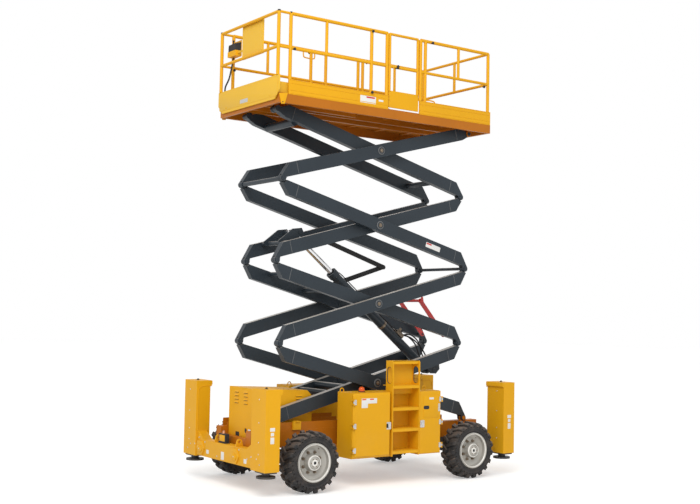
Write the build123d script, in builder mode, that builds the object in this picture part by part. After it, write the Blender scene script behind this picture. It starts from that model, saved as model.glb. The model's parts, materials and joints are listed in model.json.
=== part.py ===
from build123d import *
import math
import os

# Rough-terrain scissor lift, standing on its wheels with the platform part raised.
# Frame: X forward, Y to the left side, Z up, origin on the ground under the middle.
# Every size is in millimetres and every angle in degrees.

# ---------------------------------------------------------------- running gear
wheelbase = 2860
tyre_radius = 420
tyre_width = 300
tyre_bore_radius = 265
wheel_mid_y = 980
rim_flange_radius = 265
rim_barrel_radius = 238
rim_dish_depth = 95
rim_disc_thickness = 18
hub_radius = 105
spindle_radius = 45
axle_depth = 140
axle_half_length = 830
kingpin_y = 740
kingpin_radius = 22
yoke_radius = 50
steer_arm_length = 120
steer_rod_radius = 18
steer_rod_z = 288
steer_arm_z = 312

# ---------------------------------------------------------------- chassis
half_length = 2235
half_width = 1160
rail_inner_y = 352
rail_outer_y = 488
rail_bottom_z = 560
beam_back_x = 2060
beam_front_x = 2200
beam_bottom_z = 350
beam_top_z = 590
guide_thickness = 8
outer_guide_top_z = 905
inner_guide_top_z = 860
column_back_x = 2010
column_inner_y = 790
column_bottom_z = 340
column_top_z = 1420
column_wall = 12
leg_gap = 10
leg_inner_inset = 80
leg_outer_inset = 22
collar_top_z = 460
leg_top_z = 1330
pad_radius = 130
pad_bottom_z = 252
pad_thickness = 26

# ---------------------------------------------------------------- cabinets
cabinet_inner_y = 650
cabinet_outer_y = 1050
cabinet_front_x = 740
cabinet_rear_x = -850
cabinet_bottom_z = 410
cabinet_top_z = 1325
cabinet_wall = 12
door_thickness = 40
door_gap = 6
door_hinge_y = 1062
hinge_radius = 9
hinge_pin_radius = 5
ladder_front_x = 60
ladder_rear_x = -440
ladder_top_z = 1770
ladder_plate = 14
ladder_depth = 260
front_cabinet_half_width = 340
front_cabinet_front_x = 1945
front_cabinet_rear_x = 975
front_cabinet_bottom_z = 610
front_cabinet_top_z = 1378

# ---------------------------------------------------------------- scissor stack
rest_angle = 14.96
arm_length = 3565
arm_depth = 190
arm_width = 100
pin_offsets = (120, 125, 125, 100, -20)
outer_arm_y = 550
inner_arm_y = 420
base_pin_z = 850
pin_radius = 20
pin_clearance = 0.1
pin_head_radius = 30
pin_head = 8
lug_radius = 45
joint_radius = 60
tongue_width = 36
fork_slot = 44
nose_cut = 155
roller_radius = 50
seat_gap = 0.3
centre_pin_radius = 30
centre_boss_radius = 46
centre_boss = 12

# ---------------------------------------------------------------- lift cylinder
barrel_eye_along = -1390
barrel_eye_normal = -222
rod_eye_along = 1150
rod_eye_normal = 153
barrel_radius = 72
barrel_bore_radius = 58
barrel_length = 2370
rod_radius = 42
rod_length = 2440
eye_radius = 50
eye_pin_radius = 30
eye_width = 110
bracket_plate = 24
eye_side_gap = 5

# ---------------------------------------------------------------- platform
deck_rear_x = -1970
deck_front_x = 1785
frame_front_x = 1940
deck_half_width = 830
deck_bottom_z = 5450
deck_top_z = 5458
toe_bottom_z = 5440
toe_top_z = 5650
toe_thickness = 28
side_beam_bottom_z = 5310
rail_tube_radius = 25
rail_tube_y = 805
mid_rail_z = 6090
top_rail_z = 6575
gate_front_x = 28
gate_hinge_x = -524
gate_hinge_y = 786
gate_rear_x = -500
gate_post_front_x = 80
gate_post_rear_x = -557
extension_front_x = 1965
extension_rear_x = 300
extension_tube_radius = 18
front_plate_half_width = 860

# ---------------------------------------------------------------- worked-out sizes
rise_sin = math.sin(math.radians(rest_angle))
rise_cos = math.cos(math.radians(rest_angle))
half_arm = arm_length / 2
leg_inner_y = column_inner_y + leg_inner_inset
leg_outer_y = half_width - leg_outer_inset
level_z = [base_pin_z]
for lower_offset, upper_offset in zip(pin_offsets, pin_offsets[1:]):
    level_z.append(level_z[-1] + arm_length * rise_sin + (lower_offset + upper_offset) * rise_cos)
base_pin_x = half_arm * rise_cos - pin_offsets[0] * rise_sin
top_pin_x = half_arm * rise_cos - pin_offsets[4] * rise_sin
chassis_track_z = base_pin_z - roller_radius - seat_gap
platform_track_z = level_z[4] + roller_radius + seat_gap
axle_x = wheelbase / 2
axle_z = tyre_radius

# lean of the outer arms, stage by stage from the top: +1 has its lower end in front
outer_lean = {1: 1, 2: -1, 3: 1, 4: -1}


def finish(builder, name):
    """Label a finished sub-part and write it to its own file."""
    builder.part.label = name
    export_step(builder.part, f"parts/{name}.step")


def block(x_range, y_range, z_range, mode=Mode.ADD):
    """A plain box between three pairs of limits."""
    size = [high - low for low, high in (x_range, y_range, z_range)]
    middle = [(high + low) / 2 for low, high in (x_range, y_range, z_range)]
    with Locations(tuple(middle)):
        Box(*size, mode=mode)


def both_sides(x_range, y_low, y_high, z_range):
    """The same box on the left and on the right."""
    for side in (1, -1):
        block(x_range, sorted((side * y_low, side * y_high)), z_range)


def cross_shaft(x, z, y_from, y_to, radius, mode=Mode.ADD):
    """A round bar or hole that runs across the machine."""
    with BuildSketch(Plane(origin=(x, y_from, z), x_dir=(1, 0, 0), z_dir=(0, 1, 0))) as section:
        Circle(radius)
    extrude(section.sketch, amount=y_to - y_from, mode=mode)


def side_plate(points, y_from, y_to, mode=Mode.ADD):
    """A flat plate with a polygonal outline in X and Z."""
    with BuildSketch(Plane(origin=(0, y_from, 0), x_dir=(1, 0, 0), z_dir=(0, -1, 0))) as section:
        Polygon(*points, align=None)
    extrude(section.sketch, amount=y_from - y_to, mode=mode)


def upright(x, y, z_range, radius, mode=Mode.ADD):
    """A round upright bar or hole."""
    with BuildSketch(Plane.XY.offset(z_range[0])) as section:
        with Locations((x, y)):
            Circle(radius)
    extrude(section.sketch, amount=z_range[1] - z_range[0], mode=mode)


def tube_run(points, radius, wall=0):
    """Straight round tubes from corner to corner, mitred by balls at the corners."""
    for start, end in zip(points, points[1:]):
        along = Vector(*end) - Vector(*start)
        with BuildSketch(Plane(origin=start, z_dir=along)) as section:
            Circle(radius)
            if wall:
                Circle(radius - wall, mode=Mode.SUBTRACT)
        extrude(section.sketch, amount=along.length)
    for corner in points[1:-1]:
        with Locations(corner):
            Sphere(radius)


# ---------------------------------------------------------------- scissor arms
def arm_centre_z(stage):
    """Height of the middle of a stage's arms."""
    return level_z[4 - stage] + half_arm * rise_sin + pin_offsets[4 - stage] * rise_cos


def on_arm(stage, lean, along, normal):
    """X and Z of a point given along an arm, towards its lower end, and square to it."""
    x = lean * (along * rise_cos + normal * rise_sin)
    return x, arm_centre_z(stage) - along * rise_sin + normal * rise_cos


def arm_plane(stage, lean, y):
    """Sketch plane of an arm: local X runs to its lower end, local Y points up."""
    x_dir = (lean * rise_cos, 0, -rise_sin)
    return Plane(origin=(0, y, arm_centre_z(stage)), x_dir=x_dir, z_dir=(0, -lean, 0))


def arm_outline(lower_offset, upper_offset):
    """Side view of an arm: a deep bar with each nose cut back towards its pin lug."""
    half_depth = arm_depth / 2
    for sign, offset in ((1, lower_offset), (-1, upper_offset)):
        pin_side = max(offset + 0.6 * lug_radius, half_depth)
        pin_back = joint_radius if offset > 0 else nose_cut
        with Locations((sign * half_arm, -sign * offset)):
            Circle(lug_radius)
        Polygon(
            (0, sign * half_depth),
            (sign * (half_arm - nose_cut), sign * half_depth),
            (sign * (half_arm + 0.8 * lug_radius), -sign * (offset - 0.6 * lug_radius)),
            (sign * half_arm, -sign * (offset + 0.8 * lug_radius)),
            (sign * (half_arm - 0.7 * lug_radius), -sign * (offset + 0.6 * lug_radius)),
            (sign * (half_arm - pin_back), -sign * min(pin_side, half_depth)),
            (0, -sign * half_depth),
            align=None,
        )


def cut_fork(x, z, y_mid):
    """Open the slot of a forked arm end and bore its two cheeks."""
    cross_shaft(x, z, y_mid - fork_slot / 2, y_mid + fork_slot / 2, joint_radius, Mode.SUBTRACT)
    half = arm_width / 2 + 1
    cross_shaft(x, z, y_mid - half, y_mid + half, pin_radius + pin_clearance, Mode.SUBTRACT)


def cut_tongue(x, z, y_mid):
    """Thin an arm end to a tongue that carries its own headed pin."""
    half = arm_width / 2
    for sign in (1, -1):
        cross_shaft(x, z, y_mid + sign * tongue_width / 2, y_mid + sign * (half + 1), joint_radius + 1, Mode.SUBTRACT)
    cross_shaft(x, z, y_mid - half - pin_head, y_mid + half + pin_head, pin_radius)
    for sign in (1, -1):
        cross_shaft(x, z, y_mid + sign * (half + seat_gap), y_mid + sign * (half + pin_head), pin_head_radius)


def fit_roller(x, z, y_mid):
    """Set a track roller and its pin in a forked arm end."""
    half = arm_width / 2
    cross_shaft(x, z, y_mid - tongue_width / 2, y_mid + tongue_width / 2, roller_radius)
    cross_shaft(x, z, y_mid - half, y_mid + half, pin_radius + 5)


def fit_side_roller(x, z, side):
    """Set a track roller on a stub pin on the inner face of an arm end."""
    face = side * inner_face_y
    cross_shaft(x, z, face + side * 30, face - side * 48, pin_radius + 5)
    cross_shaft(x, z, face - side * 6, face - side * 44, roller_radius)


def arm_pair(name, stage, lean, y_mid, lower_end, upper_end, is_outer):
    """The two like arms of one stage, left and right."""
    lower_offset, upper_offset = pin_offsets[4 - stage], pin_offsets[5 - stage]
    low_x, low_z = on_arm(stage, lean, half_arm, -lower_offset)
    high_x, high_z = on_arm(stage, lean, -half_arm, upper_offset)
    centre_z = arm_centre_z(stage)
    with BuildPart() as arms:
        for side in (1, -1):
            y = side * y_mid
            with BuildSketch(arm_plane(stage, lean, y)) as outline:
                arm_outline(lower_offset, upper_offset)
            extrude(outline.sketch, amount=arm_width / 2, both=True)
            for x, z, end in ((low_x, low_z, lower_end), (high_x, high_z, upper_end)):
                if end == "tongue":
                    cut_tongue(x, z, y)
                elif end == "side roller":
                    fit_side_roller(x, z, side)
                else:
                    cut_fork(x, z, y)
                if end == "roller":
                    fit_roller(x, z, y)
            if is_outer:
                face = side * (outer_arm_y + arm_width / 2)
                cap = side * (inner_face_y - pin_head)
                cross_shaft(0, centre_z, face, cap, centre_pin_radius)
                cross_shaft(0, centre_z, face, face + side * centre_boss, centre_boss_radius)
                cross_shaft(0, centre_z, cap, cap + side * (pin_head - seat_gap), centre_boss_radius)
            else:
                half = arm_width / 2 + 1
                bore = centre_pin_radius + pin_clearance
                cross_shaft(0, centre_z, y - half, y + half, bore, Mode.SUBTRACT)
    finish(arms, name)


def make_arms():
    """All eight arm pairs."""
    for stage, lean in outer_lean.items():
        arm_pair(f"stage{stage}_outer_arms", stage, lean, outer_arm_y, "fork", "tongue", True)
        lower_end = "roller" if stage == 4 else "fork"
        upper_end = "side roller" if stage == 1 else "tongue"
        arm_pair(f"stage{stage}_inner_arms", stage, -lean, inner_arm_y, lower_end, upper_end, False)


# cross tubes between the inner arms: stage, along, normal, radius
inner_tubes = (
    (4, 440, 45, 50),
    (4, 720, 40, 45),
    (3, -700, 0, 40),
    (3, -1350, 60, 32),
    (2, -750, 0, 40),
    (2, 1462, 60, 32),
    (1, -1420, -70, 60),
    (1, 1320, 0, 40),
)
# stub shafts of the hose guide, inwards from the right inner arm
guide_along = 555
guide_normal = -60
guide_stub_y = -160
guide_stub_radius = 16
prop_along = 1608
prop_normal = -50
prop_shaft_radius = 15
prop_stub_y = 246
inner_face_y = inner_arm_y - arm_width / 2


def eye_bracket(stage, outline, eye_along, eye_normal, plate_y, pin_inner_y):
    """Two plates under or over a pair of arms, with the pin of a cylinder eye from each side."""
    for side in (1, -1):
        points = [on_arm(stage, 1, along, normal) for along, normal in outline]
        side_plate(points, side * plate_y, side * (plate_y + bracket_plate))
    x, z = on_arm(stage, 1, eye_along, eye_normal)
    half_eye = eye_width / 2
    for side in (1, -1):
        cross_shaft(x, z, side * pin_inner_y, side * (plate_y + bracket_plate + pin_head), eye_pin_radius)
        cross_shaft(x, z, side * (half_eye + eye_side_gap), side * plate_y, eye_pin_radius + 12)


def make_arm_tubes():
    """The cross tubes and brackets that tie each pair of inner arms together."""
    barrel_plate = (
        (barrel_eye_along - 130, -60),
        (barrel_eye_along - 110, barrel_eye_normal - 10),
        (barrel_eye_along - 20, barrel_eye_normal - 62),
        (barrel_eye_along + 80, barrel_eye_normal - 30),
        (barrel_eye_along + 170, -60),
    )
    rod_plate = (
        (1520, 40),
        (1540, 110),
        (rod_eye_along + 110, rod_eye_normal + 75),
        (rod_eye_along - 40, rod_eye_normal + 55),
        (rod_eye_along - 65, rod_eye_normal - 40),
        (1380, 30),
    )
    for stage in (1, 2, 3, 4):
        lean = -outer_lean[stage]
        with BuildPart() as tubes:
            for tube_stage, along, normal, radius in inner_tubes:
                if tube_stage == stage:
                    x, z = on_arm(stage, lean, along, normal)
                    cross_shaft(x, z, -inner_face_y, inner_face_y, radius)
            if stage == 4:
                x, z = on_arm(stage, lean, barrel_eye_along + 20, -38)
                for side in (1, -1):
                    cross_shaft(x, z, side * inner_face_y, side * 200, 50)
                eye_bracket(stage, barrel_plate, barrel_eye_along, barrel_eye_normal, 200, 0)
            if stage == 2:
                rod_pin_y = eye_width / 2 + eye_side_gap
                eye_bracket(stage, rod_plate, rod_eye_along, rod_eye_normal, 188, rod_pin_y)
                x, z = on_arm(stage, lean, guide_along, guide_normal)
                cross_shaft(x, z, -inner_face_y, guide_stub_y, guide_stub_radius)
            if stage == 3:
                x, z = on_arm(stage, lean, -guide_along, -guide_normal)
                cross_shaft(x, z, -inner_face_y, guide_stub_y - 40, guide_stub_radius)
                x, z = on_arm(stage, lean, prop_along, prop_normal)
                for side in (1, -1):
                    cross_shaft(x, z, side * prop_stub_y, side * inner_face_y, prop_shaft_radius)
        finish(tubes, f"stage{stage}_inner_tubes")


def make_outer_tubes():
    """Cross tubes at the noses of the outer arms, clear of the inner ones."""
    face = outer_arm_y - arm_width / 2 - pin_head
    for stage, lean, radius in ((2, -1, 33), (3, 1, 24)):
        x, z = on_arm(stage, lean, -half_arm, pin_offsets[5 - stage])
        with BuildPart() as tube:
            cross_shaft(x, z, -face, face, radius)
        finish(tube, f"stage{stage}_outer_tube")


# ---------------------------------------------------------------- lift cylinder
def make_cylinder():
    """The lift cylinder between the stage 4 and stage 2 inner arms."""
    base_x, base_z = on_arm(4, 1, barrel_eye_along, barrel_eye_normal)
    end_x, end_z = on_arm(2, 1, rod_eye_along, rod_eye_normal)
    base = Vector(base_x, 0, base_z)
    end = Vector(end_x, 0, end_z)
    along = (end - base).normalized()
    half_eye = eye_width / 2
    with BuildPart() as barrel:
        with BuildSketch(Plane(origin=base + along * eye_radius, z_dir=along)) as section:
            Circle(barrel_radius)
        extrude(section.sketch, amount=barrel_length - eye_radius)
        with BuildSketch(Plane(origin=base + along * (barrel_length - 90), z_dir=along)) as gland:
            Circle(barrel_radius + 12)
        extrude(gland.sketch, amount=90)
        with BuildSketch(Plane(origin=base + along * 110, z_dir=along)) as bore:
            Circle(barrel_bore_radius)
        extrude(bore.sketch, amount=barrel_length, mode=Mode.SUBTRACT)
        cross_shaft(base_x, base_z, -half_eye, half_eye, eye_radius + 12)
        cross_shaft(base_x, base_z, -half_eye - 1, half_eye + 1, eye_pin_radius + pin_clearance, Mode.SUBTRACT)
    finish(barrel, "lift_cylinder_barrel")
    with BuildPart() as rod:
        with BuildSketch(Plane(origin=end - along * rod_length, z_dir=along)) as section:
            Circle(rod_radius)
        extrude(section.sketch, amount=rod_length - 30)
        with BuildSketch(Plane(origin=end - along * rod_length, z_dir=along)) as piston:
            Circle(barrel_bore_radius - seat_gap)
        extrude(piston.sketch, amount=60)
        cross_shaft(end_x, end_z, -half_eye, half_eye, eye_radius)
    finish(rod, "lift_cylinder_rod")


# ---------------------------------------------------------------- hose guide, prop
guide_bar_length = 1234
guide_bar_depth = 34
guide_bar_width = 26


def flat_bar(start, end, y_from, width, depth, bore):
    """A round-ended flat bar between two points of X and Z, bored at its start."""
    middle = ((start[0] + end[0]) / 2, y_from, (start[1] + end[1]) / 2)
    length = math.dist(start, end)
    x_dir = ((end[0] - start[0]), 0, (end[1] - start[1]))
    with BuildSketch(Plane(origin=middle, x_dir=x_dir, z_dir=(0, -1, 0))) as outline:
        SlotCenterToCenter(length, depth)
        with Locations((-length / 2, 0)):
            Circle(bore, mode=Mode.SUBTRACT)
    extrude(outline.sketch, amount=-width)


def make_hose_guide():
    """The two folding bars that lead the hoses from stage to stage, and the lowest one."""
    bore = guide_stub_radius + pin_clearance
    rows = (
        ("hose_guide_upper", 2, 1, guide_along, guide_normal, guide_stub_y + 10),
        ("hose_guide_lower", 3, -1, -guide_along, -guide_normal, guide_stub_y - 30),
    )
    for name, stage, lean, along, normal, y in rows:
        start = on_arm(stage, lean, along, normal)
        drop = level_z[2] - start[1]
        run = math.sqrt(guide_bar_length**2 - drop**2)
        end = (start[0] - run, start[1] + drop)
        with BuildPart() as bar:
            flat_bar(start, end, y - guide_bar_width, guide_bar_width, guide_bar_depth * 2, bore)
        finish(bar, name)


def make_prop():
    """The red prop that holds the stack up for service, hinged on stage 3."""
    foot = Vector(*on_arm(3, -1, prop_along, prop_normal))
    head = foot + Vector(475, 530)
    with BuildPart() as prop:
        for side in (1, -1):
            y = side * 262
            flat_bar((foot.X, foot.Y), (head.X, head.Y), y - 8, 16, 70, prop_shaft_radius + pin_clearance)
        cross_shaft(head.X, head.Y, -310, 310, 22)
        for side in (1, -1):
            ear = ((head.X - 30, head.Y - 22), (head.X + 30, head.Y - 22), (head.X + 14, head.Y + 60), (head.X - 14, head.Y + 60))
            side_plate(ear, side * 294, side * 310)
    finish(prop, "safety_prop")


# ---------------------------------------------------------------- chassis
def make_chassis():
    """Rails, tracks, cross members, end beams and columns."""
    with BuildPart() as rails:
        for side in (1, -1):
            y_range = sorted((side * rail_inner_y, side * rail_outer_y))
            block((-beam_back_x, beam_back_x), y_range, (rail_bottom_z, chassis_track_z))
            for y, top in ((inner_face_y - 16, inner_guide_top_z), (478, outer_guide_top_z)):
                guide_y = sorted((side * y, side * (y + guide_thickness)))
                block((60, 1960), guide_y, (chassis_track_z, top))
            foot_y = sorted((side * rail_outer_y, side * 600))
            block((-base_pin_x - 110, -base_pin_x + 60), foot_y, (600, 785))
            lug_y = sorted((side * (outer_arm_y - tongue_width / 2), side * (outer_arm_y + tongue_width / 2)))
            lug = ((-base_pin_x - 100, 785), (-base_pin_x + 38, 785), (-base_pin_x + 38, 850), (-base_pin_x - 38, 865))
            side_plate(lug, *lug_y)
            cross_shaft(-base_pin_x, base_pin_z, *lug_y, lug_radius)
            cross_shaft(-base_pin_x, base_pin_z, side * 492, side * 608, pin_radius)
            for near, far in ((492, 499.7), (600.3, 608)):
                cross_shaft(-base_pin_x, base_pin_z, side * near, side * far, pin_head_radius)
    finish(rails, "chassis_rails")
    with BuildPart() as members:
        for x in (-790, -300, 300, 690):
            block((x - 50, x + 50), (-cabinet_inner_y, cabinet_inner_y), (430, rail_bottom_z))
        for x in (-2000, 2000):
            block((x - 40, x + 40), (-rail_inner_y, rail_inner_y), (rail_bottom_z, 690))
    finish(members, "cross_members")
    with BuildPart() as beams:
        for end in (1, -1):
            x_range = sorted((end * beam_back_x, end * beam_front_x))
            with BuildSketch(Plane(origin=(x_range[0], 0, 0), x_dir=(0, 1, 0), z_dir=(1, 0, 0))) as front:
                Polygon(
                    (-column_inner_y, beam_bottom_z), (column_inner_y, beam_bottom_z),
                    (column_inner_y, 700), (600, beam_top_z), (-600, beam_top_z), (-column_inner_y, 700),
                    align=None,
                )
            extrude(front.sketch, amount=x_range[1] - x_range[0])
    finish(beams, "cross_beams")
    with BuildPart() as columns:
        for x_side in (1, -1):
            for y_side in (1, -1):
                x_range = sorted((x_side * column_back_x, x_side * half_length))
                y_range = sorted((y_side * column_inner_y, y_side * half_width))
                block(x_range, y_range, (column_bottom_z, column_top_z))
                x_range = (x_range[0] + column_wall, x_range[1] - column_wall)
                y_range = (y_range[0] + column_wall, y_range[1] - column_wall)
                block(x_range, y_range, (collar_top_z, column_top_z - column_wall), Mode.SUBTRACT)
                x_range = (x_range[0] + leg_gap - seat_gap, x_range[1] - leg_gap + seat_gap)
                leg_y = sorted((y_side * (leg_inner_y - seat_gap), y_side * (leg_outer_y + seat_gap)))
                block(x_range, leg_y, (column_bottom_z, collar_top_z), Mode.SUBTRACT)
    finish(columns, "outrigger_columns")
    for name, x_side, y_side in leg_rows:
        x_low, x_high = sorted((x_side * column_back_x, x_side * half_length))
        inset = column_wall + leg_gap
        leg_y = sorted((y_side * leg_inner_y, y_side * leg_outer_y))
        foot = ((x_low + x_high) / 2, (leg_y[0] + leg_y[1]) / 2)
        with BuildPart() as leg:
            block((x_low + inset, x_high - inset), leg_y, (320, leg_top_z))
            with BuildSketch(Plane.XY.offset(pad_bottom_z)) as pad:
                with Locations(foot):
                    Circle(pad_radius)
            extrude(pad.sketch, amount=pad_thickness)
            with BuildSketch(Plane.XY.offset(pad_bottom_z + pad_thickness)) as neck:
                with Locations(foot):
                    Circle(55)
            extrude(neck.sketch, amount=320 - pad_bottom_z - pad_thickness)
        finish(leg, name)


leg_rows = (
    ("outrigger_leg_front_left", 1, 1),
    ("outrigger_leg_front_right", 1, -1),
    ("outrigger_leg_rear_left", -1, 1),
    ("outrigger_leg_rear_right", -1, -1),
)


def make_lifting_lugs():
    """Four lugs with lifting eyes on top of the cross beams."""
    with BuildPart() as lugs:
        for x_side in (1, -1):
            x = x_side * (beam_back_x + beam_front_x) / 2
            for y in (-310, 290):
                outline = ((x - 60, beam_top_z), (x + 60, beam_top_z), (x + 38, 665), (x - 38, 665))
                side_plate(outline, y, y + 20)
                cross_shaft(x, 650, y, y + 20, 42)
                cross_shaft(x, 650, y, y + 20, 22, Mode.SUBTRACT)
    finish(lugs, "lifting_lugs")


def make_front_cabinet():
    """The sloped cabinet between the rails, ahead of the scissor stack."""
    outline = (
        (front_cabinet_rear_x, 776), (1700, 776), (1700, front_cabinet_bottom_z), (front_cabinet_front_x, front_cabinet_bottom_z),
        (front_cabinet_front_x, front_cabinet_top_z - 8), (1057, 1332), (front_cabinet_rear_x, 1255),
    )
    with BuildPart() as cabinet:
        side_plate(outline, -front_cabinet_half_width, front_cabinet_half_width)
        both_sides((1000, 1690), front_cabinet_half_width, rail_inner_y, (778, 798))
    finish(cabinet, "front_cabinet")


# ---------------------------------------------------------------- axles and wheels
def make_axles():
    """Both axle beams, with spindles behind and kingpins in front."""
    half = axle_depth / 2
    with BuildPart() as rear:
        block((-axle_x - half, -axle_x + half), (-axle_half_length, axle_half_length), (axle_z - half, axle_z + half))
        for side in (1, -1):
            y_range = sorted((side * (rail_inner_y + 8), side * (rail_outer_y - 8)))
            block((-axle_x - 60, -axle_x + 60), y_range, (axle_z + half, rail_bottom_z))
            cross_shaft(-axle_x, axle_z, side * axle_half_length, side * spindle_end_y, spindle_radius)
    finish(rear, "rear_axle")
    yoke_y = kingpin_y - 95
    with BuildPart() as front:
        block((axle_x - half, axle_x + half), (-yoke_y, yoke_y), (axle_z - half, axle_z + half))
        for side in (1, -1):
            y_range = sorted((side * (rail_inner_y + 8), side * (rail_outer_y - 8)))
            block((axle_x - 60, axle_x + 60), y_range, (axle_z + half, rail_bottom_z))
            y_range = sorted((side * (yoke_y - 60), side * kingpin_y))
            for z in (axle_z - half - 20, axle_z + half):
                block((axle_x - yoke_radius, axle_x + yoke_radius), y_range, (z, z + 20))
                upright(axle_x, side * kingpin_y, (z, z + 20), yoke_radius)
            with BuildSketch(Plane.XY.offset(axle_z - half - 30)) as pin:
                with Locations((axle_x, side * kingpin_y)):
                    Circle(kingpin_radius)
            extrude(pin.sketch, amount=axle_depth + 60)
    finish(front, "front_axle")
    for name, side in (("knuckle_left", 1), ("knuckle_right", -1)):
        with BuildPart() as knuckle:
            y_range = sorted((side * (kingpin_y - 50), side * axle_half_length))
            block((axle_x - 60, axle_x + 60), y_range, (axle_z - half + 2, axle_z + half - 2))
            cross_shaft(axle_x, axle_z, side * axle_half_length, side * spindle_end_y, spindle_radius)
            with BuildSketch(Plane.XY.offset(steer_arm_z)) as arm:
                Polygon(*[(axle_x + dx, side * (kingpin_y + dy)) for dx, dy in steer_arm_outline[::side]], align=None)
            extrude(arm.sketch, amount=12)
            with BuildSketch(Plane.XY.offset(axle_z - half - 40)) as bore:
                with Locations((axle_x, side * kingpin_y)):
                    Circle(kingpin_radius + pin_clearance)
            extrude(bore.sketch, amount=axle_depth + 80, mode=Mode.SUBTRACT)
            block((axle_x - 60, axle_x + 60), sorted((side * 800, side * 829)), (steer_arm_z, axle_z))
        finish(knuckle, name)
    with BuildPart() as tie_rod:
        rod_x = axle_x - steer_arm_length
        cross_shaft(rod_x, steer_rod_z, -kingpin_y, kingpin_y, steer_rod_radius)
        for side in (1, -1):
            with BuildSketch(Plane.XY.offset(steer_rod_z - steer_rod_radius)) as end:
                with Locations((rod_x, side * kingpin_y)):
                    Circle(24)
            extrude(end.sketch, amount=steer_arm_z - 0.5 - steer_rod_z + steer_rod_radius)
    finish(tie_rod, "tie_rod")


spindle_end_y = 1080
# steering arm seen from above, ahead of and outside its kingpin
steer_arm_outline = ((50, 70), (50, 89), (-60, 89), (-140, 20), (-140, -20), (-100, -20), (-58, 40), (-20, 70))
wheel_rows = (
    ("front_left", 1, 1),
    ("front_right", 1, -1),
    ("rear_left", -1, 1),
    ("rear_right", -1, -1),
)


def make_wheels():
    """Tyre and rim of each wheel, turned about the axle line."""
    half = tyre_width / 2
    tyre_profile = (
        (tyre_bore_radius, -half + 20), (tyre_bore_radius + 30, -half), (tyre_radius - 40, -half),
        (tyre_radius, -half + 35), (tyre_radius, half - 35), (tyre_radius - 40, half),
        (tyre_bore_radius + 30, half), (tyre_bore_radius, half - 20),
    )
    face = half - rim_dish_depth
    hub_face = face + hub_reach
    rim_profile = (
        (rim_barrel_radius, -half + 24), (tyre_bore_radius, -half + 24), (tyre_bore_radius, half - 20),
        (rim_flange_radius - 4, half + 4), (rim_flange_radius - 16, half + 4), (rim_barrel_radius, half - 24),
        (rim_barrel_radius - 8, face + 30), (170, face), (hub_radius + 14, face + 4), (hub_radius, face + 34),
        (hub_radius - 4, hub_face - 20), (hub_radius - 30, hub_face), (0, hub_face),
        (0, hub_face - 40), (spindle_radius + pin_clearance, hub_face - 40),
        (spindle_radius + pin_clearance, -half + 20), (hub_radius, -half + 20), (hub_radius, face - 24),
        (rim_barrel_radius - 26, face - 24), (rim_barrel_radius - 26, -half + 24),
    )
    for name, x_side, y_side in wheel_rows:
        turned = Plane(origin=(x_side * axle_x, y_side * wheel_mid_y, axle_z), x_dir=(1, 0, 0), z_dir=(0, 0, 1))
        for kind, profile in (("tyre", tyre_profile), ("rim", rim_profile)):
            with BuildPart() as turned_part:
                with BuildSketch(turned) as half_section:
                    Polygon(*[(radius, y_side * width) for radius, width in profile], align=None)
                revolve(half_section.sketch, Axis((x_side * axle_x, 0, axle_z), (0, 1, 0)))
            finish(turned_part, f"{kind}_{name}")


hub_reach = 96


# ---------------------------------------------------------------- side cabinets
# door, rear and front edge in X, X of its hinge axis
door_rows = (
    ("front_door", 76, 734, 750),
    ("rear_door", -844, -446, -860),
)
door_hinge_z = (530, 868, 1200)


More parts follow.
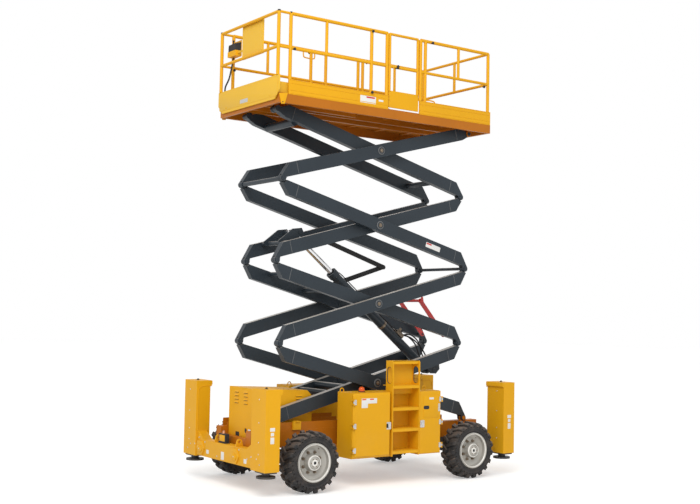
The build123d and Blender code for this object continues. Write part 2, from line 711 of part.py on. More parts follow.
def make_side_cabinets():
    """The cabinets beside the stack, their doors and the ladder."""
    shell_y = cabinet_outer_y - door_thickness - door_gap
    for name, side in (("left", 1), ("right", -1)):
        with BuildPart() as cabinet:
            y_range = sorted((side * cabinet_inner_y, side * shell_y))
            block((cabinet_rear_x, cabinet_front_x), y_range, (cabinet_bottom_z, cabinet_top_z))
            for inner in ((70, cabinet_front_x), (cabinet_rear_x, -440)):
                room_x = (inner[0] + cabinet_wall, inner[1] - cabinet_wall)
                room_y = sorted((side * (cabinet_inner_y + cabinet_wall), side * (shell_y + 1)))
                block(room_x, room_y, (cabinet_bottom_z + cabinet_wall, cabinet_top_z - cabinet_wall), Mode.SUBTRACT)
            recess_y = sorted((side * (shell_y + 1), side * (cabinet_outer_y - ladder_depth)))
            block((ladder_rear_x, 70), recess_y, (cabinet_bottom_z - 1, cabinet_top_z + 1), Mode.SUBTRACT)
            hinge_y = side * door_hinge_y
            for face, axis_x in ((cabinet_front_x, 750), (cabinet_rear_x, -860)):
                leaf_x = sorted((face, face + math.copysign(6, face)))
                for z in door_hinge_z:
                    for z_range in ((z - 40, z - 15), (z + 15, z + 40)):
                        block(leaf_x, sorted((side * (shell_y - 40), hinge_y)), z_range)
                        upright(axis_x, hinge_y, z_range, hinge_radius)
                    upright(axis_x, hinge_y, (z - 40, z + 40), hinge_pin_radius)
        finish(cabinet, f"side_cabinet_{name}")
        for door, x_low, x_high, axis_x in door_rows:
            with BuildPart() as panel:
                y_range = sorted((side * (cabinet_outer_y - door_thickness), side * cabinet_outer_y))
                block((x_low, x_high), y_range, (cabinet_bottom_z + 4, cabinet_top_z - 4))
                leaf_x = sorted((axis_x, axis_x - math.copysign(50, axis_x)))
                leaf_y = sorted((side * cabinet_outer_y, side * (cabinet_outer_y + 6)))
                for z in door_hinge_z:
                    block(leaf_x, leaf_y, (z - 14.7, z + 14.7))
                    upright(axis_x, hinge_y, (z - 14.7, z + 14.7), hinge_radius)
                    bore = hinge_pin_radius + pin_clearance
                    upright(axis_x, hinge_y, (z - 16, z + 16), bore, Mode.SUBTRACT)
            finish(panel, f"{door}_{name}")
    with BuildPart() as batteries:
        both_sides((110, 700), cabinet_inner_y + 40, shell_y - 40, (cabinet_bottom_z + cabinet_wall, 860))
    finish(batteries, "battery_packs")
    with BuildPart() as ladder:
        y_low = cabinet_outer_y - ladder_depth
        for x in (ladder_rear_x, ladder_front_x - ladder_plate):
            side_outline = (
                (y_low, cabinet_bottom_z), (cabinet_outer_y, cabinet_bottom_z), (cabinet_outer_y, 1640),
                (cabinet_outer_y - 60, ladder_top_z), (y_low + 110, ladder_top_z), (y_low, 1500),
            )
            with BuildSketch(Plane(origin=(x, 0, 0), x_dir=(0, 1, 0), z_dir=(1, 0, 0))) as plate:
                Polygon(*side_outline, align=None)
            extrude(plate.sketch, amount=ladder_plate)
        for z in ladder_treads:
            block((ladder_rear_x, ladder_front_x), (y_low + 20, cabinet_outer_y - 4), (z - 8, z))
            block((ladder_rear_x, ladder_front_x), (cabinet_outer_y - 12, cabinet_outer_y - 4), (z - 45, z))
    finish(ladder, "ladder")


ladder_treads = (486, 800, 1100, 1416)


# ---------------------------------------------------------------- platform
def make_platform():
    """The platform: floor frame, toe boards, rails, gate and sliding front deck."""
    with BuildPart() as frame:
        block((deck_rear_x, frame_front_x), (-790, 790), (deck_bottom_z, deck_top_z))
        both_sides((deck_rear_x, frame_front_x), 790, deck_half_width, (side_beam_bottom_z, 5440))
        both_sides((deck_rear_x, frame_front_x), 790, deck_half_width - 30, (5440, deck_top_z))
        for x_low, x_high in ((deck_rear_x, deck_rear_x + 40), (frame_front_x - 40, frame_front_x)):
            block((x_low, x_high), (-790, 790), (side_beam_bottom_z, deck_bottom_z))
        for x in (-1450, -900, -350, 200, 750):
            block((x - 30, x + 30), (-790, 790), (deck_bottom_z - 24, deck_bottom_z))
        both_sides((deck_rear_x + 40, frame_front_x - 40), 150, 190, (5360, deck_bottom_z))
        both_sides((300, frame_front_x - 40), 322, 366, (platform_track_z, deck_bottom_z))
        for side in (1, -1):
            for gap in (fork_slot / 2, -arm_width / 2):
                y_low = outer_arm_y + gap
                y_range = sorted((side * y_low, side * (y_low + arm_width / 2 - fork_slot / 2)))
                plate = (
                    (-top_pin_x - 150, deck_bottom_z), (-top_pin_x - 40, level_z[4]), (-top_pin_x + 30, level_z[4]),
                    (-top_pin_x + 20, level_z[4] + 60), (-top_pin_x + 20, deck_bottom_z),
                )
                side_plate(plate, *y_range)
                cross_shaft(-top_pin_x, level_z[4], *y_range, lug_radius)
                bore = pin_radius + pin_clearance
                cross_shaft(-top_pin_x, level_z[4], *y_range, bore, Mode.SUBTRACT)
    finish(frame, "platform_frame")
    with BuildPart() as toes:
        toe_y = (deck_half_width - toe_thickness, deck_half_width)
        both_sides((deck_rear_x, gate_post_rear_x + 20), *toe_y, (toe_bottom_z, toe_top_z))
        both_sides((gate_post_front_x - 20, deck_front_x), *toe_y, (toe_bottom_z, toe_top_z))
        block((gate_post_rear_x, gate_post_front_x), (-deck_half_width, -toe_y[0]), (toe_bottom_z, toe_top_z))
        inside = deck_half_width - toe_thickness
        block((deck_rear_x, deck_rear_x + toe_thickness), (-inside, inside), (deck_top_z, toe_top_z))
    finish(toes, "toe_boards")
    rear_x = -1930
    front_x = 1760
    gate_hinge_z = (5800, 6400)
    for name, side in (("left", 1), ("right", -1)):
        y = side * rail_tube_y
        with BuildPart() as rails:
            for z, radius in ((mid_rail_z, rail_tube_radius - 3), (top_rail_z, rail_tube_radius)):
                tube_run(((rear_x, y, z), (gate_post_rear_x, y, z)), radius)
                tube_run(((gate_post_front_x, y, z), (front_x, y, z)), radius)
                if side < 0:
                    tube_run(((gate_post_rear_x, y, z), (gate_post_front_x, y, z)), radius)
            for x in (rear_x, -649, gate_post_rear_x, gate_post_front_x, 364, front_x):
                tube_run(((x, y, toe_top_z), (x, y, top_rail_z)), rail_tube_radius)
            for x in (-1310, 1157):
                tube_run(((x, y, mid_rail_z), (x, y, top_rail_z)), rail_tube_radius - 3)
            for z, bore in ((mid_rail_z, extension_tube_radius + 0.5), (top_rail_z, extension_tube_radius + 3)):
                with BuildSketch(Plane(origin=(extension_rear_x, y, z), z_dir=(1, 0, 0))) as hollow:
                    Circle(bore)
                extrude(hollow.sketch, amount=1500, mode=Mode.SUBTRACT)
            if side > 0:
                for z in gate_hinge_z:
                    block((gate_post_rear_x, gate_hinge_x), (gate_hinge_y - 6, y), (z - 20, z))
                    upright(gate_hinge_x, gate_hinge_y, (z - 20, z), hinge_radius)
                    upright(gate_hinge_x, gate_hinge_y, (z, z + 19), hinge_pin_radius)
        finish(rails, f"platform_rails_{name}")
    with BuildPart() as rear_rails:
        reach = rail_tube_y - rail_tube_radius
        for z in (mid_rail_z, top_rail_z):
            tube_run(((rear_x, -reach, z), (rear_x, reach, z)), rail_tube_radius - 3)
        tube_run(((rear_x, 0, mid_rail_z), (rear_x, 0, top_rail_z)), rail_tube_radius - 3)
    finish(rear_rails, "platform_rails_rear")
    with BuildPart() as gate:
        y = rail_tube_y
        tube_run(((gate_front_x, y, 5720), (gate_front_x, y, top_rail_z), (gate_rear_x, y, top_rail_z)), rail_tube_radius - 5)
        tube_run(((gate_rear_x, y, top_rail_z), (gate_rear_x, y, 5720)), rail_tube_radius - 5)
        tube_run(((gate_rear_x, y, mid_rail_z), (gate_front_x, y, mid_rail_z)), rail_tube_radius - 5)
        block((gate_rear_x - 15, gate_front_x + 15), (y - 10, y + 10), (5480, 5730))
        for z in gate_hinge_z:
            block((gate_hinge_x, gate_rear_x), (gate_hinge_y - 6, y), (z + seat_gap, z + 20))
            upright(gate_hinge_x, gate_hinge_y, (z + seat_gap, z + 20), hinge_radius)
            upright(gate_hinge_x, gate_hinge_y, (z, z + 21), hinge_pin_radius + pin_clearance, Mode.SUBTRACT)
    finish(gate, "platform_gate")
    with BuildPart() as deck:
        floor_z = deck_top_z + 5
        block((extension_rear_x, extension_front_x - 20), (-765, 765), (floor_z, floor_z + 8))
        both_sides((extension_rear_x, extension_front_x - 20), 740, 765, (floor_z + 8, 5615))
        with BuildSketch(Plane(origin=(extension_front_x - 20, 0, 0), x_dir=(0, 1, 0), z_dir=(1, 0, 0))) as plate:
            wide = front_plate_half_width
            Polygon(
                (-wide, 5690), (-wide, 5480), (-wide + 120, 5360), (wide - 120, 5360), (wide, 5480), (wide, 5690),
                align=None,
            )
        extrude(plate.sketch, amount=20)
    finish(deck, "extension_deck")
    with BuildPart() as front_rails:
        for z, radius in ((mid_rail_z, extension_tube_radius), (top_rail_z, extension_tube_radius)):
            for side in (1, -1):
                y = side * rail_tube_y
                tube_run(((extension_rear_x + 20, y, z), (extension_front_x - 10, y, z)), radius)
            tube_run(((extension_front_x - 10, -rail_tube_y, z), (extension_front_x - 10, rail_tube_y, z)), radius + 4)
        for side in (1, -1):
            y = side * rail_tube_y
            tube_run(((extension_front_x - 10, y, 5690), (extension_front_x - 10, y, top_rail_z)), rail_tube_radius)
    finish(front_rails, "extension_rails")
    with BuildPart() as console:
        block((1810, 1910), (-700, -480), (6180, 6450))
        block((1905, 1932.9), (-240, 330), (6085, 6580))
        block((1890, 1925), (-480, -240), (6240, 6300))
    finish(console, "platform_console")


# ---------------------------------------------------------------- run the model
def main():
    os.makedirs("parts", exist_ok=True)
    make_arms()
    make_arm_tubes()
    make_outer_tubes()
    make_cylinder()
    make_hose_guide()
    make_prop()
    make_chassis()
    make_lifting_lugs()
    make_front_cabinet()
    make_axles()
    make_wheels()
    make_side_cabinets()
    make_platform()


main()
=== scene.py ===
import json
import math

import bmesh
import bpy
from mathutils import Matrix, Vector


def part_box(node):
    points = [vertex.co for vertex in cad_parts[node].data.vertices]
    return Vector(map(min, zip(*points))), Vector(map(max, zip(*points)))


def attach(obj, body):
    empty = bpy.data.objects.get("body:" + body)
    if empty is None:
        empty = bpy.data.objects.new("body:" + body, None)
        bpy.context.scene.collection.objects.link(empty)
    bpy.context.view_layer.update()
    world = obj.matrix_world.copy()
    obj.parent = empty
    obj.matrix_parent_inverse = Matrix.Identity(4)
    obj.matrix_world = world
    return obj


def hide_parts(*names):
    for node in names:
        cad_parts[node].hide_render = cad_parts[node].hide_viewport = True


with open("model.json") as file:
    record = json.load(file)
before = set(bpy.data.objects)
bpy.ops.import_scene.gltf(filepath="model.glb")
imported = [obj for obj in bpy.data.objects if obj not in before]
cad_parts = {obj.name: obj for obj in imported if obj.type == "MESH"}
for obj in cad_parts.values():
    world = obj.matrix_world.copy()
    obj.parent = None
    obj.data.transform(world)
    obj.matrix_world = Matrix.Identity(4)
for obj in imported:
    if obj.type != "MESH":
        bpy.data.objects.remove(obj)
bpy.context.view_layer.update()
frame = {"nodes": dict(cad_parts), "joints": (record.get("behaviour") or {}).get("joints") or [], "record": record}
nodes = frame["nodes"]

# ---------------- places worked out from the frame


def joint_place(name):
    """Where a hinge of the frame sits."""
    for joint in frame["joints"]:
        if joint["name"] == name:
            return Vector(joint["pos_m"])
    raise KeyError(name)


corners = ("front_left", "front_right", "rear_left", "rear_right")
wheel_place = {c: joint_place(f"wheel_{c}_spin") for c in corners}
tyre_low, tyre_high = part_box("tyre_front_left")
rim_low, rim_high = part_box("rim_front_left")
tyre_radius = (tyre_high.x - tyre_low.x) / 2
tyre_half_width = (tyre_high.y - tyre_low.y) / 2
rim_radius = (rim_high.x - rim_low.x) / 2

# ---------------- shader node groups

number, colour = "NodeSocketFloat", "NodeSocketColor"
painted_outputs = (("Color", colour), ("Roughness", number), ("Height", number))


def new_tree(name, inputs, outputs):
    """A shader node group with named sockets, its inputs as seen inside it, and its end node."""
    tree = bpy.data.node_groups.new(name, "ShaderNodeTree")
    for label, kind, value in inputs:
        socket = tree.interface.new_socket(label, in_out="INPUT", socket_type=kind)
        socket.default_value = value
    for label, kind in outputs:
        tree.interface.new_socket(label, in_out="OUTPUT", socket_type=kind)
    return tree, tree.nodes.new("NodeGroupInput").outputs, tree.nodes.new("NodeGroupOutput").inputs


def fill(tree, node, links):
    """Joins or sets the inputs of a node."""
    for key, value in links.items():
        if isinstance(value, bpy.types.NodeSocket):
            tree.links.new(value, node.inputs[key])
        else:
            node.inputs[key].default_value = value
    return node


def place(tree, kind, links=None, **settings):
    """Adds a node, sets its properties and joins or fills its inputs."""
    node = tree.nodes.new(kind)
    for key, value in settings.items():
        setattr(node, key, value)
    return fill(tree, node, links or {})


def noise(tree, scale, detail=3.0, roughness=0.55):
    """Noise value at object coordinates."""
    where = place(tree, "ShaderNodeTexCoord").outputs["Object"]
    links = {"Vector": where, "Scale": scale, "Detail": detail, "Roughness": roughness}
    return place(tree, "ShaderNodeTexNoise", links).outputs["Fac"]


def ramp(tree, value, low, high, kind="SMOOTHSTEP"):
    """Value stretched so that low gives 0 and high gives 1."""
    return place(tree, "ShaderNodeMapRange", {0: value, 1: low, 2: high}, interpolation_type=kind).outputs[0]


def maths(tree, operation, a, b=0.0):
    """One arithmetic step."""
    return place(tree, "ShaderNodeMath", {0: a, 1: b}, operation=operation).outputs[0]


def times(tree, a, b):
    """Two values multiplied."""
    return maths(tree, "MULTIPLY", a, b)


def plus(tree, a, b):
    """Two values added."""
    return maths(tree, "ADD", a, b)


def held(tree, value):
    """A value kept between 0 and 1."""
    return place(tree, "ShaderNodeClamp", {0: value}).outputs[0]


def upwards(tree, low, high):
    """How much a face looks up, from 0 at the slope low to 1 at the slope high."""
    normal = place(tree, "ShaderNodeNewGeometry").outputs["Normal"]
    return ramp(tree, place(tree, "ShaderNodeSeparateXYZ", {0: normal}).outputs["Z"], low, high)


def mask_of(tree, group):
    """The mask that one of the groups below puts out."""
    return place(tree, "ShaderNodeGroup", node_tree=bpy.data.node_groups[group]).outputs[0]


def blend_colour(tree, factor, a, b, mode="MIX"):
    """Two colours mixed by a factor."""
    node = place(tree, "ShaderNodeMix", data_type="RGBA", blend_type=mode)
    return fill(tree, node, {0: factor, 6: a, 7: b}).outputs[2]


def make_edge_mask():
    """Mask of the outer edges of a piece, broken up by noise, where paint rubs thin."""
    inputs = (("Radius", number, 0.006), ("Patches", number, 14.0))
    tree, given, out = new_tree("edge_mask", inputs, (("Mask", number),))
    normal = place(tree, "ShaderNodeNewGeometry").outputs["Normal"]
    rounded = place(tree, "ShaderNodeBevel", {"Radius": given["Radius"]}, samples=4).outputs[0]
    turn = place(tree, "ShaderNodeVectorMath", {0: normal, 1: rounded}, operation="DOT_PRODUCT")
    edge = ramp(tree, turn.outputs["Value"], 0.985, 0.86)
    patches = ramp(tree, noise(tree, given["Patches"], 5.0, 0.7), 0.46, 0.66)
    tree.links.new(times(tree, edge, patches), out["Mask"])


def make_road_dust():
    """Mask of dust: thick low down and on faces that look up, thin elsewhere."""
    inputs = (("Top", number, 1.2), ("Scale", number, 3.0))
    tree, given, out = new_tree("road_dust", inputs, (("Mask", number),))
    where = place(tree, "ShaderNodeTexCoord").outputs["Object"]
    height = place(tree, "ShaderNodeSeparateXYZ", {0: where}).outputs["Z"]
    low = held(tree, maths(tree, "SUBTRACT", 1.0, maths(tree, "DIVIDE", height, given["Top"])))
    base = maths(tree, "MAXIMUM", low, times(tree, upwards(tree, 0.3, 1.0), 0.5))
    broken = ramp(tree, noise(tree, given["Scale"], 6.0, 0.65), 0.35, 0.8)
    tree.links.new(times(tree, base, broken), out["Mask"])


def make_worn_paint():
    """Sprayed paint: slow shifts of tone, rubbed edges, dust, a painted highlight on faces that look up, and a
    faint orange peel.
    """
    inputs = (
        ("Paint", colour, (0.8, 0.4, 0.02, 1)), ("Rubbed", colour, (0.3, 0.2, 0.1, 1)),
        ("Dust and Highlight", colour, (0.4, 0.32, 0.24, 1)), ("Rubbing", number, 0.4), ("Dusting", number, 0.2),
        ("Shift", number, 0.12), ("Gloss", number, 0.36), ("Top Highlight", number, 0.0),
    )
    tree, given, out = new_tree("worn_paint", inputs, painted_outputs)
    slow = noise(tree, 1.7, 3.0)
    fine = noise(tree, 22.0, 5.0, 0.65)
    both = plus(tree, times(tree, slow, 0.7), times(tree, fine, 0.3))
    tone = ramp(tree, both, 0.3, 0.7, "LINEAR")
    dark = blend_colour(tree, given["Shift"], given["Paint"], (0.25, 0.25, 0.25, 1), "MULTIPLY")
    paint = blend_colour(tree, tone, dark, given["Paint"])
    edge = times(tree, mask_of(tree, "edge_mask"), given["Rubbing"])
    paint = blend_colour(tree, edge, paint, given["Rubbed"])
    dust = times(tree, mask_of(tree, "road_dust"), given["Dusting"])
    paint = blend_colour(tree, dust, paint, given["Dust and Highlight"])
    # faces that look up turn towards the dust colour: a painted highlight of sky light on top faces, strong on the
    # arms
    cover = times(tree, upwards(tree, 0.72, 0.93), plus(tree, 0.75, times(tree, fine, 0.5)))
    paint = blend_colour(tree, times(tree, cover, given["Top Highlight"]), paint, given["Dust and Highlight"])
    rough = plus(tree, given["Gloss"], times(tree, fine, 0.10))
    peel = times(tree, noise(tree, 260.0, 2.0), 0.35)
    tree.links.new(paint, out["Color"])
    tree.links.new(plus(tree, rough, times(tree, dust, 0.5)), out["Roughness"])
    tree.links.new(plus(tree, peel, times(tree, edge, -0.6)), out["Height"])


def make_moulded_rubber():
    """Black rubber with a fine grain and patches of dust, lightened as a painted highlight on faces that look up.
    """
    inputs = (
        ("Rubber", colour, (0.012, 0.012, 0.013, 1)), ("Dust and Highlight", colour, (0.17, 0.13, 0.10, 1)),
        ("Dusting", number, 0.5), ("Grain", number, 60.0),
    )
    tree, given, out = new_tree("moulded_rubber", inputs, painted_outputs)
    grain = noise(tree, given["Grain"], 4.0, 0.6)
    dust = times(tree, ramp(tree, noise(tree, 7.0, 6.0, 0.7), 0.38, 0.72), 0.35)
    # faces that look up are lightened towards the dust colour as a painted highlight of sky light, added to the
    # dust patches
    dust = held(tree, times(tree, plus(tree, dust, upwards(tree, 0.25, 1.0)), given["Dusting"]))
    tree.links.new(blend_colour(tree, dust, given["Rubber"], given["Dust and Highlight"]), out["Color"])
    tree.links.new(plus(tree, 0.62, times(tree, grain, 0.25)), out["Roughness"])
    tree.links.new(grain, out["Height"])


for build_group in (make_edge_mask, make_road_dust, make_worn_paint, make_moulded_rubber):
    build_group()

# ---------------- materials

relief_depth = 0.002
road_dust_tone = (0.36, 0.29, 0.22)
# paint: colour, colour of its rubbed edges, rubbing, dusting, shift of tone, gloss, strength of relief
paints = {
    "amber_paint": ((0.80, 0.395, 0.006), (0.42, 0.22, 0.05), 0.35, 0.10, 0.10, 0.42, 0.05),
    # the next row: the body's amber paled as a painted highlight, the sun's reflection on the roll-out deck's
    # front plate and the document panel
    "painted_highlight_amber": ((0.80, 0.47, 0.035), (0.42, 0.24, 0.06), 0.35, 0.08, 0.08, 0.42, 0.05),
    # the next row: the body's amber darkened to deep orange as painted shade, for frames and rails that face down
    # or inwards
    "painted_shade_amber": ((0.50, 0.155, 0.005), (0.30, 0.13, 0.03), 0.35, 0.06, 0.20, 0.36, 0.05),
    "arm_paint": ((0.026, 0.036, 0.046), (0.24, 0.22, 0.20), 0.75, 0.05, 0.30, 0.34, 0.06),
    "seam_paint": ((0.12, 0.125, 0.13), (0.22, 0.21, 0.20), 0.6, 0.2, 0.3, 0.34, 0.08),
    "rim_paint": ((0.47, 0.455, 0.415), (0.30, 0.28, 0.26), 0.5, 0.35, 0.15, 0.34, 0.05),
    "rim_edge_paint": ((0.86, 0.84, 0.79), (0.45, 0.42, 0.38), 0.3, 0.15, 0.08, 0.25, 0.03),
    "black_paint": ((0.018, 0.018, 0.02), (0.16, 0.15, 0.14), 0.5, 0.25, 0.2, 0.42, 0.05),
    "red_paint": ((0.62, 0.018, 0.014), (0.20, 0.05, 0.04), 0.5, 0.08, 0.2, 0.34, 0.05),
    "orange_paint": ((0.75, 0.10, 0.012), (0.5, 0.2, 0.1), 0.2, 0.1, 0.06, 0.35, 0.02),
    "beacon_amber": ((0.75, 0.10, 0.004), (0.8, 0.3, 0.05), 0.2, 0.05, 0.10, 0.08, 0.01),
    "label_white": ((0.78, 0.77, 0.74), (0.5, 0.48, 0.45), 0.3, 0.15, 0.06, 0.35, 0.02),
    "bright_steel": ((0.62, 0.61, 0.59), (0.45, 0.44, 0.42), 0.3, 0.15, 0.2, 0.22, 0.03),
    "bronze_steel": ((0.24, 0.19, 0.14), (0.4, 0.36, 0.3), 0.4, 0.2, 0.3, 0.35, 0.04),
    "copper": ((0.52, 0.24, 0.12), (0.6, 0.36, 0.2), 0.3, 0.2, 0.25, 0.3, 0.03),
    "chrome": ((0.78, 0.78, 0.79), (0.6, 0.6, 0.6), 0.1, 0.05, 0.08, 0.07, 0.01),
}
# rubber: colour, colour of its dust and of its painted top highlight, strength of dust and painted top highlight,
# grain, strength of relief
rubbers = {
    "tyre_rubber": ((0.011, 0.011, 0.012), (0.20, 0.155, 0.125), 0.6, 70.0, 0.25),
    "hose_rubber": ((0.010, 0.010, 0.011), (0.06, 0.055, 0.05), 0.3, 160.0, 0.15),
    "black_plastic": ((0.016, 0.016, 0.018), (0.08, 0.07, 0.06), 0.2, 220.0, 0.12),
}
# colour of each paint's dust, which also colours its painted top highlight, and how strong that highlight is on
# faces that look up; the arms' light beige top faces are painted sky light
dust_and_highlight_tones = {"arm_paint": (0.46, 0.42, 0.37), "seam_paint": (0.20, 0.19, 0.18)}
painted_top_highlight = {"arm_paint": 0.85}
metal_share = {
    "rim_paint": 0.25, "rim_edge_paint": 0.2, "bright_steel": 0.9, "bronze_steel": 0.7, "copper": 0.8,
    "chrome": 1.0,
}
specular_level = {
    "amber_paint": 0.22, "painted_highlight_amber": 0.25, "painted_shade_amber": 0.25, "arm_paint": 0.3, "beacon_amber": 0.4,
}
coat_weight = {"red_paint": 0.3}
materials = {}


def shaded(name, group, values, relief):
    """A material whose group feeds a Principled shader; plain numbers go on the shader's own sockets."""
    material = materials[name] = bpy.data.materials.new(name)
    material.use_nodes = True
    tree = material.node_tree
    effect = place(tree, "ShaderNodeGroup", node_tree=bpy.data.node_groups[group])
    for key, value in values.items():
        effect.inputs[key].default_value = value if isinstance(value, float) else (*value, 1)
    links = {"Height": effect.outputs["Height"], "Strength": relief, "Distance": relief_depth}
    bump = place(tree, "ShaderNodeBump", links)
    sockets = {
        "Base Color": effect.outputs["Color"], "Roughness": effect.outputs["Roughness"],
        "Normal": bump.outputs["Normal"],
    }
    for label, numbers in (("Metallic", metal_share), ("Specular IOR Level", specular_level),
                           ("Coat Weight", coat_weight)):
        if name in numbers:
            sockets[label] = numbers[name]
    fill(tree, tree.nodes["Principled BSDF"], sockets)


for name, (paint, rubbed, rubbing, dusting, shift, gloss, relief) in paints.items():
    values = {
        "Paint": paint, "Rubbed": rubbed, "Dust and Highlight": dust_and_highlight_tones.get(name, road_dust_tone), "Rubbing": rubbing,
        "Dusting": dusting, "Shift": shift, "Gloss": gloss, "Top Highlight": painted_top_highlight.get(name, 0.0),
    }
    shaded(name, "worn_paint", values, relief)
for name, (rubber, dust, dusting, grain, relief) in rubbers.items():
    values = {"Rubber": rubber, "Dust and Highlight": dust, "Dusting": dusting, "Grain": grain}
    shaded(name, "moulded_rubber", values, relief)

slot_material = {
    "body_yellow": "amber_paint", "arm_grey": "arm_paint", "rim_silver": "rim_paint",
    "tyre_rubber": "tyre_rubber", "chassis_dark": "black_paint", "prop_red": "red_paint",
    "rod_chrome": "chrome", "hose_black": "hose_rubber", "console_grey": "black_plastic",
}
# the slot that pieces of a material go to, unless they say otherwise
node_slot = {part["node"]: part["material_slot"] for part in frame["record"]["subparts"]}
bodies = frame["record"]["behaviour"]["bodies"]
node_body = {node: body for body, members in bodies.items() for node in members}

# ---------------- mesh helpers

# in degrees: faces that meet flatter than this become one, and edges sharper than this are rounded
flat_angle, sharp_angle = 1.0, 32
same_place = 0.00002


def finish_mesh(name, work, material, body="chassis", sharp=35.0):
    """Makes the object of a mesh, smooths it up to a sharp angle and puts it on its body."""
    mesh = bpy.data.meshes.new(name)
    work.normal_update()
    work.to_mesh(mesh)
    work.free()
    mesh.shade_smooth()
    mesh.set_sharp_from_angle(angle=math.radians(sharp))
    mesh.materials.append(materials[material])
    piece = bpy.data.objects.new(name, mesh)
    bpy.context.scene.collection.objects.link(piece)
    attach(piece, body)
    return piece


def soften(node, width, material):
    """A copy of a CAD node with its sharp edges rounded, standing in for the node."""
    work = bmesh.new()
    work.from_mesh(nodes[node].data)
    bmesh.ops.remove_doubles(work, verts=work.verts, dist=same_place)
    if node not in faces_kept:
        limit = math.radians(flat_angle)
        bmesh.ops.dissolve_limit(work, angle_limit=limit, verts=work.verts, edges=work.edges)
    limit = math.radians(sharp_angle)
    sharp = [e for e in work.edges if len(e.link_faces) == 2 and e.calc_face_angle(0) > limit]
    round_edges(work, sharp, width)
    piece = finish_mesh(f"{node}_skin", work, material, node_body[node])
    harden = piece.modifiers.new("normals", "WEIGHTED_NORMAL")
    harden.keep_sharp = True
    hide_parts(node)


# ---------------- shapes that the small pieces are made of

label_depth, label_edge = 0.0014, 0.0005
mark_depth = 0.0006


def round_edges(work, edges, width, cuts=2):
    """Rounds edges by a width."""
    bmesh.ops.bevel(work, geom=edges, offset=width, segments=cuts, profile=0.6, affect="EDGES",
                    clamp_overlap=True)


def axes(place_at, x, y, z):
    """Matrix with its origin at a place and its local axes along three directions."""
    return Matrix.Translation(place_at) @ Matrix((x, y, z)).transposed().to_4x4()


def facing(place_at, out, up=(0, 0, 1)):
    """Matrix whose local Z points out of a face and local Y up it."""
    z = Vector(out).normalized()
    x = Vector(up).cross(z).normalized()
    return axes(place_at, x, z.cross(x), z)


def move(x, y, z):
    """A plain move."""
    return Matrix.Translation((x, y, z))


def join_rings(work, rings):
    """Walls between rings of as many corners."""
    for low, high in zip(rings, rings[1:]):
        for k in range(len(low)):
            m = (k + 1) % len(low)
            work.faces.new((low[k], low[m], high[m], high[k]))


def face_outwards(work):
    """Turns all faces of closed shapes to look out."""
    bmesh.ops.recalc_face_normals(work, faces=work.faces)


def turned(work, matrix, profile, steps=16):
    """Turns a profile of (radius, height) round the local Z."""
    rings = []
    for radius, height in profile:
        angles = [2 * math.pi * i / steps for i in range(steps if radius else 1)]
        rings.append([work.verts.new(matrix @ Vector((radius * math.cos(a), radius * math.sin(a), height)))
                      for a in angles])
    for low, high in zip(rings, rings[1:]):
        for i in range(steps):
            j = (i + 1) % steps
            corner = (low[i % len(low)], low[j % len(low)], high[j % len(high)], high[i % len(high)])
            face = list(dict.fromkeys(corner))
            if len(face) > 2:
                work.faces.new(face)


def slab(work, matrix, outline, depth, edge=0.0, cuts=2):
    """An outline in local X and Y, raised along local Z, with its front edges rounded."""
    back = [work.verts.new(matrix @ Vector((x, y, 0))) for x, y in outline]
    front = [work.verts.new(matrix @ Vector((x, y, depth))) for x, y in outline]
    work.faces.new(back[::-1])
    face = work.faces.new(front)
    join_rings(work, (back, front))
    if edge:
        round_edges(work, list(face.edges), edge, cuts)


def round_rectangle(width, height, radius, steps=4):
    """Outline of a rectangle with round corners, about its middle."""
    outline = []
    for quarter, (sx, sy) in enumerate(((1, 1), (-1, 1), (-1, -1), (1, -1))):
        for i in range(steps + 1):
            angle = math.pi / 2 * (quarter + i / steps)
            outline.append((sx * (width / 2 - radius) + radius * math.cos(angle),
                            sy * (height / 2 - radius) + radius * math.sin(angle)))
    return outline


def plate(work, matrix, width, height, corner, depth, edge=0.0, steps=4):
    """A flat plate with round corners."""
    slab(work, matrix, round_rectangle(width, height, corner, steps), depth, edge)


def blank_label(work, matrix, width, height, corner=0.005):
    """A thin blank label."""
    plate(work, matrix, width, height, corner, label_depth, label_edge)


def smooth_path(points, between=5):
    """Points of a smooth curve through a short list of points."""
    points = [Vector(p) for p in points]
    ends = [2 * points[0] - points[1]] + points + [2 * points[-1] - points[-2]]
    path = []
    for a, b, c, d in zip(ends, ends[1:], ends[2:], ends[3:]):
        for i in range(between):
            t = i / between
            path.append(0.5 * (2 * b + (c - a) * t + (2 * a - 5 * b + 4 * c - d) * t * t
                               + (3 * b - a - 3 * c + d) * t**3))
    return path + [points[-1]]


def pipe(work, points, radius, steps=10):
    """A round closed tube along points."""
    points = [Vector(p) for p in points]
    rings = []
    side = None
    for i, point in enumerate(points):
        along = (points[min(i + 1, len(points) - 1)] - points[max(i - 1, 0)]).normalized()
        if side is None:
            side = along.orthogonal().normalized()
        side = (side - along * side.dot(along)).normalized()
        other = along.cross(side)
        rings.append([work.verts.new(point + radius * (math.cos(a) * side + math.sin(a) * other))
                      for a in (2 * math.pi * k / steps for k in range(steps))])
    join_rings(work, rings)
    work.faces.new(rings[0][::-1])
    work.faces.new(rings[-1])


def stud(work, matrix, radius, edge_height, top_radius, height, steps, start=0.0):
    """A round or many-sided stud whose top edge is bevelled."""
    turned(work, matrix, ((radius, start), (radius, edge_height), (top_radius, height), (0, height)), steps)


def bolt(work, place_at, out, radius, height):
    """A washer with a hexagon head on it, for an upright face."""
    matrix = facing(place_at, out)
    washer_radius, washer_height = radius * 1.5, height * 0.25
    turned(work, matrix, ((washer_radius, 0), (washer_radius, washer_height), (0, washer_height)), 16)
    stud(work, matrix, radius, height * 0.9, radius * 0.8, height, 6, height * 0.2)


